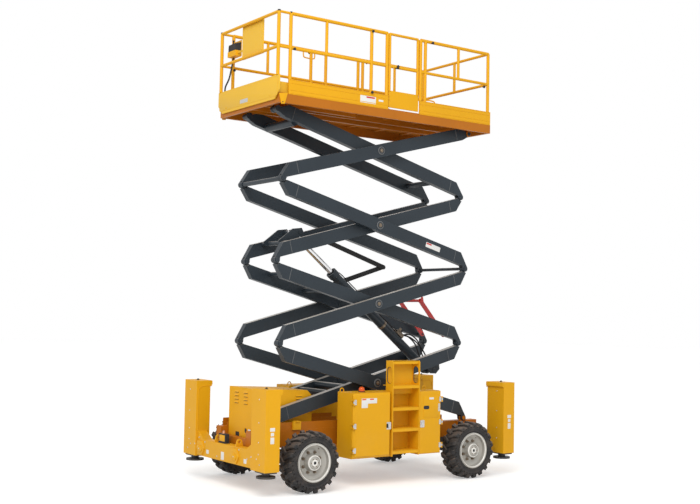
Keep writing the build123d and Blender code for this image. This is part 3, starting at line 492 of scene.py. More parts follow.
def block_between(work, low, high, edge=0.004):
    """A box between two corners with its upper edges rounded."""
    low, high = Vector(low), Vector(high)
    wide, deep = (high.x - low.x) / 2, (high.y - low.y) / 2
    outline = ((-wide, -deep), (wide, -deep), (wide, deep), (-wide, deep))
    slab(work, move(low.x + wide, low.y + deep, low.z), outline, high.z - low.z, edge)


# ---------------- dressed CAD nodes

# nodes whose flat faces have notches, which stay in pieces
faces_kept = ("front_cabinet", "extension_deck")
stages = (1, 2, 3, 4)
# node: rounding of its edges
softened = {
    "chassis_rails": 0.004, "cross_members": 0.004, "cross_beams": 0.006, "outrigger_columns": 0.008,
    "front_cabinet": 0.008, "side_cabinet_left": 0.005, "side_cabinet_right": 0.005,
    "platform_frame": 0.010, "toe_boards": 0.004, "extension_deck": 0.004,
}
softened |= {f"stage{stage}_{arms}_arms": 0.005 for stage in stages for arms in ("outer", "inner")}
# the platform frame, chassis rails, cross members and battery packs take the amber darkened as painted shade
other_finish = {
    "platform_frame": "painted_shade_amber", "chassis_rails": "painted_shade_amber", "cross_members": "painted_shade_amber",
    # the roll-out deck takes the paled amber, a painted highlight
    "battery_packs": "painted_shade_amber", "extension_deck": "painted_highlight_amber",
}
other_finish |= {f"outrigger_leg_{corner}": "black_paint" for corner in corners}
node_finish = {node: other_finish.get(node, slot_material[node_slot[node]]) for node in nodes}
for node, width in softened.items():
    soften(node, width, node_finish[node])
for node, obj in nodes.items():
    if node not in softened:
        obj.data.materials.clear()
        obj.data.materials.append(materials[node_finish[node]])

# ---------------- tyres and wheels

lug_count = 19
tread_floor = tyre_radius - 0.031
hole_count = 38
hole_low, hole_high = 0.337, 0.361
hole_depth = 0.022
lug_edge = 0.0035
lug_foot_radius = 0.370
# one lug from the middle of the tread over the shoulder: distance out, top radius, foot radius,
# half width of its top and foot, and how far it has swung round the tyre, all in metres
lug_stations = (
    (-0.006, 0.4185, 0.380, 0.020, 0.029, -0.036),
    (0.030, 0.4195, 0.380, 0.024, 0.034, -0.014),
    (0.070, 0.4195, 0.378, 0.028, 0.038, 0.006),
    (0.108, 0.4180, 0.372, 0.031, 0.041, 0.022),
    (0.134, 0.4080, 0.368, 0.031, 0.040, 0.030),
    (0.1480, 0.3900, 0.366, 0.028, 0.036, 0.032),
    (0.1495, 0.3740, 0.3665, 0.022, 0.028, 0.032),
)
# distances of the rim's disc and of the hub's face from the wheel's middle, and radii of what they carry
disc_out, hub_out = 0.056, 0.151
stud_circle, hub_bolt_circle, valve_circle = 0.142, 0.055, 0.205
valve_angle = 2.1


def on_circle(centre, radius, y, angle):
    """A point on a circle round a wheel's axis."""
    return Vector((centre.x + radius * math.cos(angle), y, centre.z + radius * math.sin(angle)))


def carcass_profile():
    """Radius and distance from the middle, from the inner bead over the tread to the outer bead."""
    half = tyre_half_width
    outer = (
        (tread_floor, 0.06), (tread_floor - 0.006, 0.10), (tread_floor - 0.016, 0.128),
        (tread_floor - 0.027, half - 0.004), (hole_high, half - 0.001), (hole_low, half - 0.001),
        (0.328, half - 0.003), (0.320, half - 0.009), (0.300, half - 0.009), (0.292, half - 0.004),
        (0.276, half - 0.007), (rim_radius + 0.0003, half - 0.020),
    )
    return [(r, -y) for r, y in outer[::-1]] + [(tread_floor + 0.001, 0.0)] + list(outer)


def sink_hole(work, patch, inwards):
    """Closes a patch of side wall round a rounded hole, and gives the hole walls and a floor."""
    centre = sum((v.co for v in patch), Vector()) / 4
    rim = []
    for corner, following in zip(patch, patch[1:] + patch[:1]):
        for share in (0.30, 0.70):
            spot = corner.co.lerp(following.co, share)
            rim.append(work.verts.new(centre + (spot - centre) * 0.74))
    for i, corner in enumerate(patch):
        a, b = rim[2 * i], rim[2 * i + 1]
        work.faces.new((corner, patch[(i + 1) % 4], b, a))
        work.faces.new((corner, a, rim[2 * i - 1]))
    floor = [work.verts.new(v.co + inwards * hole_depth) for v in rim]
    join_rings(work, (rim, floor))
    work.faces.new(floor)


def add_carcass(work, centre):
    """The turned body of a tyre, with a ring of small holes sunk in each side wall."""
    steps = 2 * hole_count
    profile = carcass_profile()
    rings = []
    for radius, y in profile:
        ring = [on_circle(centre, radius, centre.y + y, 2 * math.pi * i / steps) for i in range(steps)]
        rings.append([work.verts.new(point) for point in ring])
    for (low_r, low_y), (high_r, _), low, high in zip(profile, profile[1:], rings, rings[1:]):
        in_ring = {low_r, high_r} == {hole_low, hole_high}
        for i in range(steps):
            j = (i + 1) % steps
            patch = [low[i], high[i], high[j], low[j]]
            if in_ring and i % 2:
                sink_hole(work, patch, Vector((0, -math.copysign(1, low_y), 0)))
            else:
                work.faces.new(patch)
    join_rings(work, (rings[-1], rings[0]))


def add_lug(work, centre, side, angle):
    """One tread lug, its sides splayed towards the foot."""
    rows = []
    for out, top, foot, top_half, foot_half, swing in lug_stations:
        row = []
        for radius, half in ((foot, -foot_half), (top, -top_half), (top, top_half), (foot, foot_half)):
            turn = angle + (swing + half) / tyre_radius
            row.append(work.verts.new(on_circle(centre, radius, centre.y + side * out, turn)))
        rows.append(row)
    lug = [work.faces.new(rows[0]), work.faces.new(rows[-1][::-1])]
    for low, high in zip(rows, rows[1:]):
        for k in range(4):
            m = (k + 1) % 4
            lug.append(work.faces.new((low[k], high[k], high[m], low[m])))
    return lug


def make_tyre(corner):
    """A solid tyre with chevron lugs, in place of the plain one."""
    work = bmesh.new()
    centre = wheel_place[corner]
    add_carcass(work, centre)
    lug_faces = []
    for half_turn in range(2 * lug_count):
        side = 1 if half_turn % 2 else -1
        lug_faces += add_lug(work, centre, side, math.pi * (half_turn + 0.5) / lug_count)
    face_outwards(work)
    top_edges = [e for f in lug_faces for e in f.edges if e.calc_face_angle(0) > 0.5
                 and min((v.co - centre).xz.length for v in e.verts) > lug_foot_radius]
    round_edges(work, list(dict.fromkeys(top_edges)), lug_edge)
    tyre = finish_mesh(f"tyre_{corner}_treaded", work, "tyre_rubber", f"wheel_{corner}", sharp=40)
    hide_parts(f"tyre_{corner}")


def make_wheel_trim(corner):
    """Studs, nuts, hub cap and valve of one wheel."""
    side = 1 if corner.endswith("left") else -1
    out = (0, side, 0)
    body = f"wheel_{corner}"
    centre = wheel_place[corner]
    low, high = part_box(f"rim_{corner}")
    disc_y, hub_y = centre.y + side * disc_out, centre.y + side * hub_out
    work = bmesh.new()
    for i in range(8):
        spot = on_circle(centre, stud_circle, disc_y - side * 0.002, math.pi * (i + 0.5) / 4)
        bolt(work, spot, out, 0.016, 0.026)
        stud(work, facing(spot, out), 0.009, 0.046, 0.007, 0.049, 12, 0.020)
    for i in range(6):
        spot = on_circle(centre, hub_bolt_circle, hub_y - side * 0.001, math.pi * i / 3)
        bolt(work, spot, out, 0.006, 0.008)
    valve = facing(on_circle(centre, valve_circle, disc_y, valve_angle), out)
    stud(work, valve, 0.006, 0.030, 0.004, 0.034, 10)
    finish_mesh(f"wheel_studs_{corner}", work, "bronze_steel", body)
    work = bmesh.new()
    rim = facing((centre.x, high.y if side > 0 else low.y, centre.z), out)
    turned(work, rim, ((rim_radius - 0.030, -0.016), (rim_radius - 0.022, -0.002), (rim_radius - 0.012, 0.0),
                       (rim_radius - 0.006, -0.002), (rim_radius - 0.001, -0.010)), 96)
    hub = facing((centre.x, hub_y, centre.z), out)
    turned(work, hub, ((0.104, -0.012), (0.098, -0.001), (0.088, -0.001)), 48)
    turned(work, hub, ((0.046, -0.001), (0.046, 0.002), (0.042, 0.0035), (0.020, 0.0035)), 36)
    finish_mesh(f"rim_edge_{corner}", work, "rim_edge_paint", body)
    work = bmesh.new()
    plate(work, hub, 0.040, 0.040, 0.005, 0.0035, 0.0006)
    finish_mesh(f"hub_socket_{corner}", work, "black_plastic", body)


for corner in corners:
    make_tyre(corner)
    make_wheel_trim(corner)

# ---------------- chassis pieces

column_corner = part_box("outrigger_columns")[1]
column_back, column_inner, column_foot = 2.010, 0.790, 0.70
column_mid_x = (column_corner.x + column_back) / 2
column_mid_y = (column_corner.y + column_inner) / 2
column_bolt_heights = (1.285, 0.980, 0.722, 0.565)
column_bolt_radius, column_bolt_height = 0.0065, 0.006
# labels on a column: height of the middle, and size; on the front beam: place of the middle, and size
column_labels = ((0.900, 0.075, 0.048), (0.838, 0.050, 0.044), (0.757, 0.058, 0.086))
beam_labels = ((-0.040, 0.425, 0.085, 0.110), (-0.480, 0.430, 0.075, 0.055), (0.590, 0.425, 0.075, 0.060))
beam_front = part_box("cross_beams")[1].x
beam_bolts = ((-0.560, 0.560), (0.420, 0.560), (-0.74, 0.610), (0.640, 0.462), (0.740, 0.500), (-0.20, 0.40))
flange_places = (-0.690, 0.310)
flange_height, cover_height = 0.466, 0.458
cabinet_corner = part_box("front_cabinet")[1]
cabinet_front = cabinet_corner.x
louvre_width, louvre_drop = 0.112, 0.0265
# louvres on the front and on each side of the front cabinet: height of the top row and pitch of the rows
front_louvre_top, front_louvre_pitch = 1.322, 0.050
side_louvre_top, side_louvre_pitch = 1.268, 0.040
# openings low in the front cabinet, each hole a black plate of painted shade: place, size and corner of the hole
# and of the ring round it
cabinet_openings = (
    (-0.083, 0.714, (0.105, 0.060, 0.008), (0.125, 0.080, 0.014)),
    (0.149, 0.778, (0.058, 0.066, 0.028), (0.078, 0.086, 0.038)),
)
seam_y, seam_low, seam_high = 0.338, 0.62, 1.365
track_y = 0.505
ahead = (1, 0, 0)
four_ways = [(sx, sy) for sx in (1, -1) for sy in (1, -1)]


def make_column_trim():
    """Bolts, caps, lips, and ribs round the recessed inner panels, of the four outrigger columns."""
    bolts, caps, lips = bmesh.new(), bmesh.new(), bmesh.new()
    low_bolts = ((column_mid_y - 0.03, 0.500), (column_mid_y + 0.05, 0.434), (column_inner + 0.02, 0.513))
    cap = ((0.024, 0), (0.024, 0.004), (0.014, 0.005), (0.013, 0.016), (0.009, 0.020), (0, 0.020))
    lip = ((-0.030, -0.062), (-0.030, -0.012), (-0.022, 0.0), (0.006, 0.0), (0.006, -0.074), (-0.010, -0.074))
    top, front_edge = column_corner.z, column_corner.x - 0.030
    fold = (
        (column_back - 0.022, top - 0.078), (front_edge - 0.075, top - 0.080),
        (front_edge - 0.022, top - 0.110), (front_edge, top - 0.175), (front_edge, column_foot + 0.02),
        (front_edge - 0.012, column_foot), (column_back + 0.03, column_foot),
    )
    for sx, sy in four_ways:
        front = [(column_mid_y + 0.015, z) for z in column_bolt_heights] + list(low_bolts)
        for y, z in front:
            spot = (sx * column_corner.x, sy * y, z)
            bolt(bolts, spot, (sx, 0, 0), column_bolt_radius, column_bolt_height)
        for z in column_bolt_heights:
            spot = (sx * column_back, sy * (column_mid_y + 0.030), z)
            bolt(bolts, spot, (-sx, 0, 0), column_bolt_radius, column_bolt_height)
        turned(caps, move(sx * column_mid_x, sy * column_mid_y, top), cap, 20)
        matrix = axes((sx * column_back, sy * column_inner, top), (sx, 0, 0), (0, 0, 1), (0, sy, 0))
        slab(lips, matrix, lip if sx * sy < 0 else lip[::-1], column_corner.y - column_inner)
        rib = [(sx * x, sy * (column_inner - 0.001), z) for x, z in fold]
        pipe(lips, smooth_path(rib, 4), 0.006, 8)
    face_outwards(lips)
    finish_mesh("column_bolts", bolts, "bright_steel")
    finish_mesh("column_caps", caps, "black_plastic")
    finish_mesh("column_lips", lips, "amber_paint")


def make_labels():
    """Blank plates and labels on the chassis."""
    work = bmesh.new()
    for sx, sy in four_ways:
        for z, width, height in column_labels:
            spot = (sx * (column_mid_x + 0.005), sy * (column_corner.y - 0.001), z)
            blank_label(work, facing(spot, (0, sy, 0)), width, height)
    for y, z, width, height in beam_labels:
        blank_label(work, facing((beam_front, y, z), ahead), width, height)
    blank_label(work, facing((cabinet_front, 0.249, 0.750), ahead), 0.075, 0.110, 0.006)
    finish_mesh("chassis_labels", work, "label_white")


def make_beam_trim():
    """Flange plates with oval covers and small bolts on the front beam."""
    flanges, bolts = bmesh.new(), bmesh.new()
    outline = [(0.128 * math.cos(math.pi * k / 3), 0.118 * math.sin(math.pi * k / 3)) for k in range(6)]
    for y in flange_places:
        slab(flanges, facing((beam_front, y, flange_height), ahead), outline, 0.022, 0.004)
        cover = facing((beam_front + 0.022, y + 0.012, cover_height), ahead, (0, 0.25, 1))
        plate(flanges, cover, 0.130, 0.082, 0.040, 0.013, 0.006, 8)
        bolt(bolts, (beam_front + 0.035, y + 0.012, cover_height), ahead, 0.006, 0.006)
    for sx in (1, -1):
        for y, z in beam_bolts:
            bolt(bolts, (sx * beam_front, y, z), (sx, 0, 0), 0.0075, 0.008)
    finish_mesh("beam_flanges", flanges, "amber_paint")
    finish_mesh("beam_bolts", bolts, "bright_steel")


def make_beam_box():
    """The black box with a yellow front and a domed alarm that stands on the front beam."""
    foot, front, top = 0.590, 2.165, 0.722
    box, face, alarm = bmesh.new(), bmesh.new(), bmesh.new()
    block_between(box, (2.105, -0.220, foot), (front, -0.030, top), 0.008)
    block_between(box, (2.095, -0.226, foot), (2.172, -0.024, 0.600), 0.003)
    plate(face, facing((front, -0.125, 0.660), ahead), 0.150, 0.086, 0.006, 0.003, 0.001)
    dome = ((0.030, 0), (0.030, 0.006), (0.027, 0.010), (0.026, 0.024), (0.020, 0.036), (0.011, 0.042),
            (0, 0.044))
    turned(alarm, move(2.134, -0.130, top), dome, 24)
    finish_mesh("beam_box", box, "black_plastic")
    finish_mesh("beam_box_face", face, "amber_paint")
    finish_mesh("beam_alarm", alarm, "copper")


def add_louvre(hoods, dark, start, along, out):
    """A hood that stands out of a cabinet's wall, with a black plate below it as painted shade in the slot."""
    hood = ((0.0, 0.0), (0.013, -0.019), (0.013, -0.022), (0.0, -0.022))
    slab(hoods, axes(start, out, (0, 0, 1), along), hood, louvre_width)
    middle = Vector(start) + Vector(along) * louvre_width / 2 - Vector((0, 0, louvre_drop))
    # a thin black plate under the hood: painted shade in the slot
    plate(dark, facing(middle, out), 0.104, 0.008, 0.0035, 0.0008)


def make_front_cabinet_trim():
    """Louvres, openings and seams of the front cabinet."""
    hoods, dark, seams = bmesh.new(), bmesh.new(), bmesh.new()
    for y in (-0.122, 0.132):
        for row in range(4):
            height = front_louvre_top - front_louvre_pitch * row
            start = (cabinet_front, y - louvre_width / 2, height)
            add_louvre(hoods, dark, start, (0, 1, 0), ahead)
    for sy in (1, -1):
        for row in range(2):
            height = side_louvre_top - side_louvre_pitch * row
            start = (1.140, sy * (cabinet_corner.y - 0.012), height)
            add_louvre(hoods, dark, start, ahead, (0, sy, 0))
        seam_x = cabinet_front - 0.006
        pipe(seams, [(seam_x, sy * seam_y, seam_low), (seam_x, sy * seam_y, seam_high)], 0.004, 8)
    face_outwards(hoods)
    for y, z, hole, ring_size in cabinet_openings:
        spot = facing((cabinet_front, y, z), ahead)
        # the hole is a thin black plate: painted shade inside the opening
        plate(dark, spot, *hole, 0.0012)
        ring = [spot @ Vector((a, b, 0.001)) for a, b in round_rectangle(*ring_size)]
        pipe(hoods, ring + ring[:1], 0.004, 8)
    finish_mesh("front_cabinet_louvres", hoods, "amber_paint", sharp=30)
    finish_mesh("front_cabinet_openings", dark, "black_plastic")
    finish_mesh("front_cabinet_seams", seams, "amber_paint")


def make_track_stops():
    """Stop brackets on top of the roller tracks."""
    work = bmesh.new()
    for y in (track_y, -track_y):
        block_between(work, (1.270, y - 0.018, 0.800), (1.395, y + 0.018, 0.915), 0.006)
        block_between(work, (1.300, y - 0.034, 0.906), (1.365, y + 0.034, 0.922), 0.004)
    finish_mesh("track_stops", work, "amber_paint")


make_column_trim()
make_labels()
make_beam_trim()
make_beam_box()
make_front_cabinet_trim()
make_track_stops()

# ---------------- side cabinets and ladder

door_back, door_thickness = 1.010, 0.040
door_face = door_back + door_thickness
hinge_heights = (0.530, 0.868, 1.200)
hinge_reach = 1.062
latch_height = 0.852
cabinet_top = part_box("side_cabinet_left")[1].z
beacon_x, beacon_y = 0.475, 0.860
loop_y = 0.700
loop_places = (0.705, -0.800, -0.480)
tread_heights = (0.486, 0.800, 1.100, 1.416)
ladder_sheet = 0.014
ladder_head_depth = 0.165
# the hand hole in each side plate of the ladder: distance behind the front edge, height, and size
hand_hole_back, hand_hole_height = 0.083, 1.561
hand_hole = (0.114, 0.245, 0.056)


def make_door(node, low_x, high_x, hinge_x, chamfer):
    """A cabinet door with broad chamfers round its face and three hinges, in place of the plain one."""
    low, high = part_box(node)
    sy = 1 if node.endswith("left") else -1
    inwards = -1 if hinge_x > high_x else 1
    work = bmesh.new()
    wide, tall = (high_x - low_x) / 2, (high.z - low.z) / 2
    outline = ((-wide, -tall), (wide, -tall), (wide, tall), (-wide, tall))
    middle = ((low_x + high_x) / 2, sy * door_back, (low.z + high.z) / 2)
    slab(work, facing(middle, (0, sy, 0)), outline, door_thickness, chamfer, 1)
    skin = finish_mesh(f"{node}_skin", work, "amber_paint", node, sharp=15)
    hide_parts(node)
    work = bmesh.new()
    near, far = sorted((sy * (door_face - 0.006), sy * (door_face + 0.006)))
    left, right = sorted((hinge_x, hinge_x + inwards * 0.052))
    for z in hinge_heights:
        pin = ((0, 0), (0.009, 0), (0.009, 0.080), (0, 0.080))
        turned(work, move(hinge_x, sy * hinge_reach, z - 0.040), pin)
        block_between(work, (left, near, z - 0.036), (right, far, z + 0.036), 0.001)
    finish_mesh(f"{node}_hinges", work, "bright_steel", node)


def door_spot(sy, x, z, out=0.0):
    """A place on the face of the doors of one side."""
    return facing((x, sy * (door_face + out), z), (0, sy, 0))


def make_latch(door, sy, x):
    """A cup with a key cylinder on a door."""
    work = bmesh.new()
    spot = door_spot(sy, x, latch_height)
    plate(work, spot, 0.078, 0.105, 0.010, 0.005, 0.002)
    plate(work, spot @ move(0, 0.010, 0.005), 0.045, 0.050, 0.010, 0.006, 0.002)
    stud(work, spot @ move(0, -0.033, 0.005), 0.010, 0.006, 0.007, 0.008, 16)
    finish_mesh(f"{door}_latch", work, "bright_steel", door)


def make_door_trim():
    """Bevelled skins, hinges, latches, hatch and labels of the four cabinet doors."""
    for side_name, sy in (("left", 1), ("right", -1)):
        front, rear = f"front_door_{side_name}", f"rear_door_{side_name}"
        make_door(front, 0.076, 0.734, 0.750, 0.034)
        make_door(rear, -0.844, -0.446, -0.860, 0.012)
        make_latch(front, sy, 0.125)
        make_latch(rear, sy, -0.492)
        grip, hatch, handle, blank, hinge = (bmesh.new() for _ in range(5))
        plate(grip, door_spot(sy, 0.152, latch_height, 0.005), 0.030, 0.060, 0.010, 0.007, 0.002)
        plate(hatch, door_spot(sy, -0.655, 1.0965), 0.290, 0.323, 0.020, 0.004, 0.0015, 6)
        plate(handle, door_spot(sy, -0.565, 1.086, 0.004), 0.105, 0.052, 0.022, 0.0015, 0.0005, 6)
        blank_label(blank, door_spot(sy, -0.660, 1.215, 0.004), 0.085, 0.030)
        plate(hinge, door_spot(sy, -0.806, 1.080), 0.038, 0.115, 0.006, 0.005, 0.0015)
        pipe(hinge, [(-0.806, sy * (door_face + 0.008), z) for z in (1.025, 1.135)], 0.006)
        finish_mesh(f"{front}_grip", grip, "black_plastic", front)
        finish_mesh(f"{rear}_hatch", hatch, "amber_paint", rear)
        finish_mesh(f"{rear}_handle", handle, "black_plastic", rear)
        finish_mesh(f"{rear}_label", blank, "label_white", rear)
        finish_mesh(f"{rear}_hinge", hinge, "bright_steel", rear)


def make_front_door_label():
    """The stepped white label with two orange bars on the left front door."""
    blank, bars = bmesh.new(), bmesh.new()
    wide, tall = 0.134, 0.066
    step_x, step_y = -0.026, -0.006
    outline = ((-wide, tall), (-wide, -tall), (step_x, -tall), (step_x, step_y), (wide, step_y), (wide, tall))
    slab(blank, door_spot(1, 0.475, 1.184), outline, label_depth, label_edge)
    face_outwards(blank)
    for x in (0.565, 0.430):
        plate(bars, door_spot(1, x, 1.236, label_depth), 0.070, 0.018, 0.003, mark_depth)
    finish_mesh("front_door_left_label", blank, "label_white", "front_door_left")
    finish_mesh("front_door_left_bars", bars, "orange_paint", "front_door_left")


def make_cabinet_top():
    """Lifting loops and the beacon on the side cabinets."""
    loops, base, lens = bmesh.new(), bmesh.new(), bmesh.new()
    foot = ((0.014, 0), (0.013, 0.004), (0.008, 0.007))
    bow = ((-0.032, -0.004), (-0.026, 0.034), (0, 0.052), (0.026, 0.034), (0.032, -0.004))
    for y in (loop_y, -loop_y):
        for x in loop_places:
            pipe(loops, smooth_path([(x + a, y, cabinet_top + b) for a, b in bow]), 0.0075)
            for a in (-0.032, 0.032):
                turned(loops, move(x + a, y, cabinet_top), foot, 14)
    turned(base, move(beacon_x, beacon_y, cabinet_top), ((0.048, 0), (0.048, 0.010), (0.040, 0.014)), 24)
    dome = ((0.042, 0), (0.042, 0.030), (0.040, 0.042), (0.033, 0.056), (0.020, 0.065), (0, 0.068))
    turned(lens, move(beacon_x, beacon_y, cabinet_top + 0.008), dome, 28)
    finish_mesh("cabinet_loops", loops, "amber_paint")
    finish_mesh("beacon_base", base, "black_plastic")
    finish_mesh("beacon_lens", lens, "beacon_amber", sharp=60)


def plate_with_hole(work, x, sheet, outline, hole):
    """An upright plate across X with one round-cornered hole."""
    edges = []
    for points in (outline, hole):
        verts = [work.verts.new((x, y, z)) for y, z in points]
        edges += [work.edges.new((a, b)) for a, b in zip(verts, verts[1:] + verts[:1])]
    filled = bmesh.ops.triangle_fill(work, edges=edges, use_beauty=True)
    faces = [g for g in filled["geom"] if isinstance(g, bmesh.types.BMFace)]
    raised = bmesh.ops.extrude_face_region(work, geom=faces)
    moved = [g for g in raised["geom"] if isinstance(g, bmesh.types.BMVert)]
    bmesh.ops.translate(work, verts=moved, vec=(sheet, 0, 0))
    face_outwards(work)


def make_ladder():
    """The ladder with hand holes in its side plates and hemmed treads, in place of the plain one."""
    low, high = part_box("ladder")
    work, rims = bmesh.new(), bmesh.new()
    head_back = high.y - ladder_head_depth
    left, right = low.x + 0.004, high.x - 0.004
    side_outline = ((low.y, low.z), (high.y, low.z), (high.y, high.z - 0.020), (high.y - 0.020, high.z),
                    (head_back, high.z), (head_back, cabinet_top + 0.006), (low.y, cabinet_top + 0.006))
    hole = [(high.y - hand_hole_back + a, hand_hole_height + b) for a, b in round_rectangle(*hand_hole, 8)]
    for x in (low.x, high.x - ladder_sheet):
        plate_with_hole(work, x, ladder_sheet, side_outline, hole)
        ring = [(x + ladder_sheet / 2, y, z) for y, z in hole]
        pipe(rims, ring + ring[:1], 0.0065, 8)
    for z in tread_heights:
        block_between(work, (left, low.y + 0.020, z - 0.008), (right, high.y - 0.004, z), 0.003)
        block_between(work, (left, high.y - 0.014, z - 0.045), (right, high.y - 0.004, z - 0.004), 0.003)
    # the back sheet, and the back, top and front hem of the head
    sheets = (
        (low.y + 0.004, low.z, low.y + 0.010, cabinet_top, 0.001),
        (head_back + 0.002, cabinet_top - 0.040, head_back + 0.008, high.z - 0.002, 0.001),
        (head_back + 0.002, high.z - 0.008, high.y - 0.022, high.z, 0.002),
        (high.y - 0.034, high.z - 0.048, high.y - 0.022, high.z, 0.002),
    )
    for low_y, low_z, high_y, high_z, edge in sheets:
        block_between(work, (left, low_y, low_z), (right, high_y, high_z), edge)
    ladder = finish_mesh("ladder_plates", work, "amber_paint")
    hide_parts("ladder")
    finish_mesh("ladder_grip_rims", rims, "black_plastic")


make_door_trim()
make_front_door_label()
make_cabinet_top()
make_ladder()

# ---------------- scissor arms

arm_half_length = 1.7825
arm_angle = math.radians(14.96)
outer_face_y, inner_face_y = 0.600, 0.470
seam_setback, seam_reach = 0.265, 0.084
seam_stand_out = 0.0005
# the lift cylinder's ends: distance along an arm of the stage and out of its middle line
cylinder_foot, cylinder_head = (-1.390, -0.222), (1.150, 0.153)
band_places = (0.16, 1.10, 1.76)
outer_lean = {1: 1, 2: -1, 3: 1, 4: -1}


def on_arm(stage, lean, along, normal, y):
    """A point on an arm of a stage, from its distance along the arm and out of its middle line."""
    centre = joint_place(f"stage{stage}_centre_pin")
    cos, sin = math.cos(arm_angle), math.sin(arm_angle)
    return Vector((lean * (along * cos + normal * sin), y, centre.z - along * sin + normal * cos))


def arm_facing(stage, lean, along, y):
    """Matrix on an arm's outer face, with local X running along the arm."""
    up = (lean * math.sin(arm_angle), 0, math.cos(arm_angle))
    return facing(on_arm(stage, lean, along, 0.0, y), (0, math.copysign(1, y), 0), up)


def add_weld_seams(work, stage, lean, face_y):
    """The four weld seams across the noses of a pair of arms."""
    for y in (face_y, -face_y):
        for along in (arm_half_length - seam_setback, seam_setback - arm_half_length):
            pipe(work, [on_arm(stage, lean, along, n, y) for n in (-seam_reach, seam_reach)], 0.004, 8)


def make_arm_trim(stage):
    """Weld seams at the noses, and the ringed centre boss with its bolt, of one stage's arms."""
    lean = outer_lean[stage]
    seams, rings, heads, inner_seams = (bmesh.new() for _ in range(4))
    add_weld_seams(seams, stage, lean, outer_face_y + seam_stand_out)
    add_weld_seams(inner_seams, stage, -lean, inner_face_y + seam_stand_out)
    for sy in (1, -1):
        boss = arm_facing(stage, lean, 0.0, sy * (outer_face_y + 0.001))
        turned(rings, boss, ((0.062, 0), (0.062, 0.005), (0.056, 0.009), (0.047, 0.009)), 28)
        turned(heads, boss, ((0.030, 0.008), (0.030, 0.012), (0.0, 0.012)), 20)
        stud(heads, boss, 0.019, 0.018, 0.015, 0.021, 6, 0.010)
    outer = f"stage{stage}_outer"
    finish_mesh(f"stage{stage}_weld_seams", seams, "seam_paint", outer)
    finish_mesh(f"stage{stage}_boss_rings", rings, "seam_paint", outer)
    finish_mesh(f"stage{stage}_centre_bolts", heads, "bronze_steel", outer)
    finish_mesh(f"stage{stage}_inner_weld_seams", inner_seams, "seam_paint", f"stage{stage}_inner")


def make_arm_label():
    """A blank label with a red bar on the left arm of stage two."""
    blank, bar = bmesh.new(), bmesh.new()
    spot = arm_facing(2, -1, 1.060, outer_face_y)
    blank_label(blank, spot, 0.290, 0.075, 0.006)
    plate(bar, spot @ move(-0.085, 0.020, label_depth), 0.100, 0.022, 0.003, mark_depth)
    finish_mesh("arm_label", blank, "label_white", "stage2_outer")
    finish_mesh("arm_label_bar", bar, "red_paint", "stage2_outer")


def make_hydraulics():
    """Valve block, fittings and hoses round the foot of the lift cylinder."""
    foot = on_arm(4, 1, *cylinder_foot, 0.0)
    head = on_arm(2, 1, *cylinder_head, 0.0)
    axis = (head - foot).normalized()
    side = Vector((0, 1, 0))
    over = side.cross(axis) if side.cross(axis).z > 0 else axis.cross(side)

    def at(along, out, over_it):
        """A point along the cylinder, to its side and over it."""
        return foot + axis * along + side * out + over * over_it

    metal, dark = bmesh.new(), bmesh.new()
    block = axes(at(0.78, 0, 0.066), side, axis, over)
    plate(metal, block, 0.110, 0.150, 0.008, 0.062, 0.005)
    stud(metal, block @ move(0.028, 0.035, 0.060), 0.021, 0.045, 0.016, 0.052, 18)
    stud(dark, block @ move(-0.026, -0.030, 0.060), 0.024, 0.060, 0.020, 0.068, 20)
    for start in band_places:
        band = axes(at(start, 0, 0), side, over, axis)
        turned(metal, band, ((0.072, 0), (0.0775, 0.002), (0.0775, 0.040), (0.072, 0.042)), 40)
    for out in (-0.030, 0.030):
        route = ((0.83, 0.105), (0.92, 0.098), (1.00, 0.084), (2.20, 0.084), (2.27, 0.078))
        pipe(dark, [at(along, out, rise) for along, rise in route], 0.008)
    for out, top in ((0.045, 0.175), (-0.045, 0.205), (0.0, 0.235)):
        route = ((0.72, 1.0, 0.120), (0.58, 1.3, top), (0.38, 1.6, top + 0.010), (0.20, 1.8, 0.140),
                 (0.06, 2.0, 0.092))
        pipe(dark, smooth_path([at(along, out * spread, rise) for along, spread, rise in route], 6), 0.0115)
    finish_mesh("cylinder_valves", metal, "bronze_steel", "lift_barrel")
    finish_mesh("cylinder_hoses", dark, "hose_rubber", "lift_barrel")


for stage in stages:
    make_arm_trim(stage)
make_arm_label()
make_hydraulics()

# ---------------- platform

toe_low, toe_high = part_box("toe_boards")
toe_face = 0.830
rail_y = 0.805
rail_top = 6.572
rib_heights = (5.4560, 5.5000, 5.5960, 5.6420)
knob_places = ((0.370, 6.550), (-0.760, 6.557), (-1.815, 6.030), (0.370, 5.650))
deck_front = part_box("extension_deck")[1].x
plate_press = 0.0025
hanger_x, hanger_y, hanger_z = 1.870, 0.831, 5.360
controller_x, controller_top, panel_y = 1.855, 6.395, -0.240
button_places = (-0.590, -0.560, -0.530)


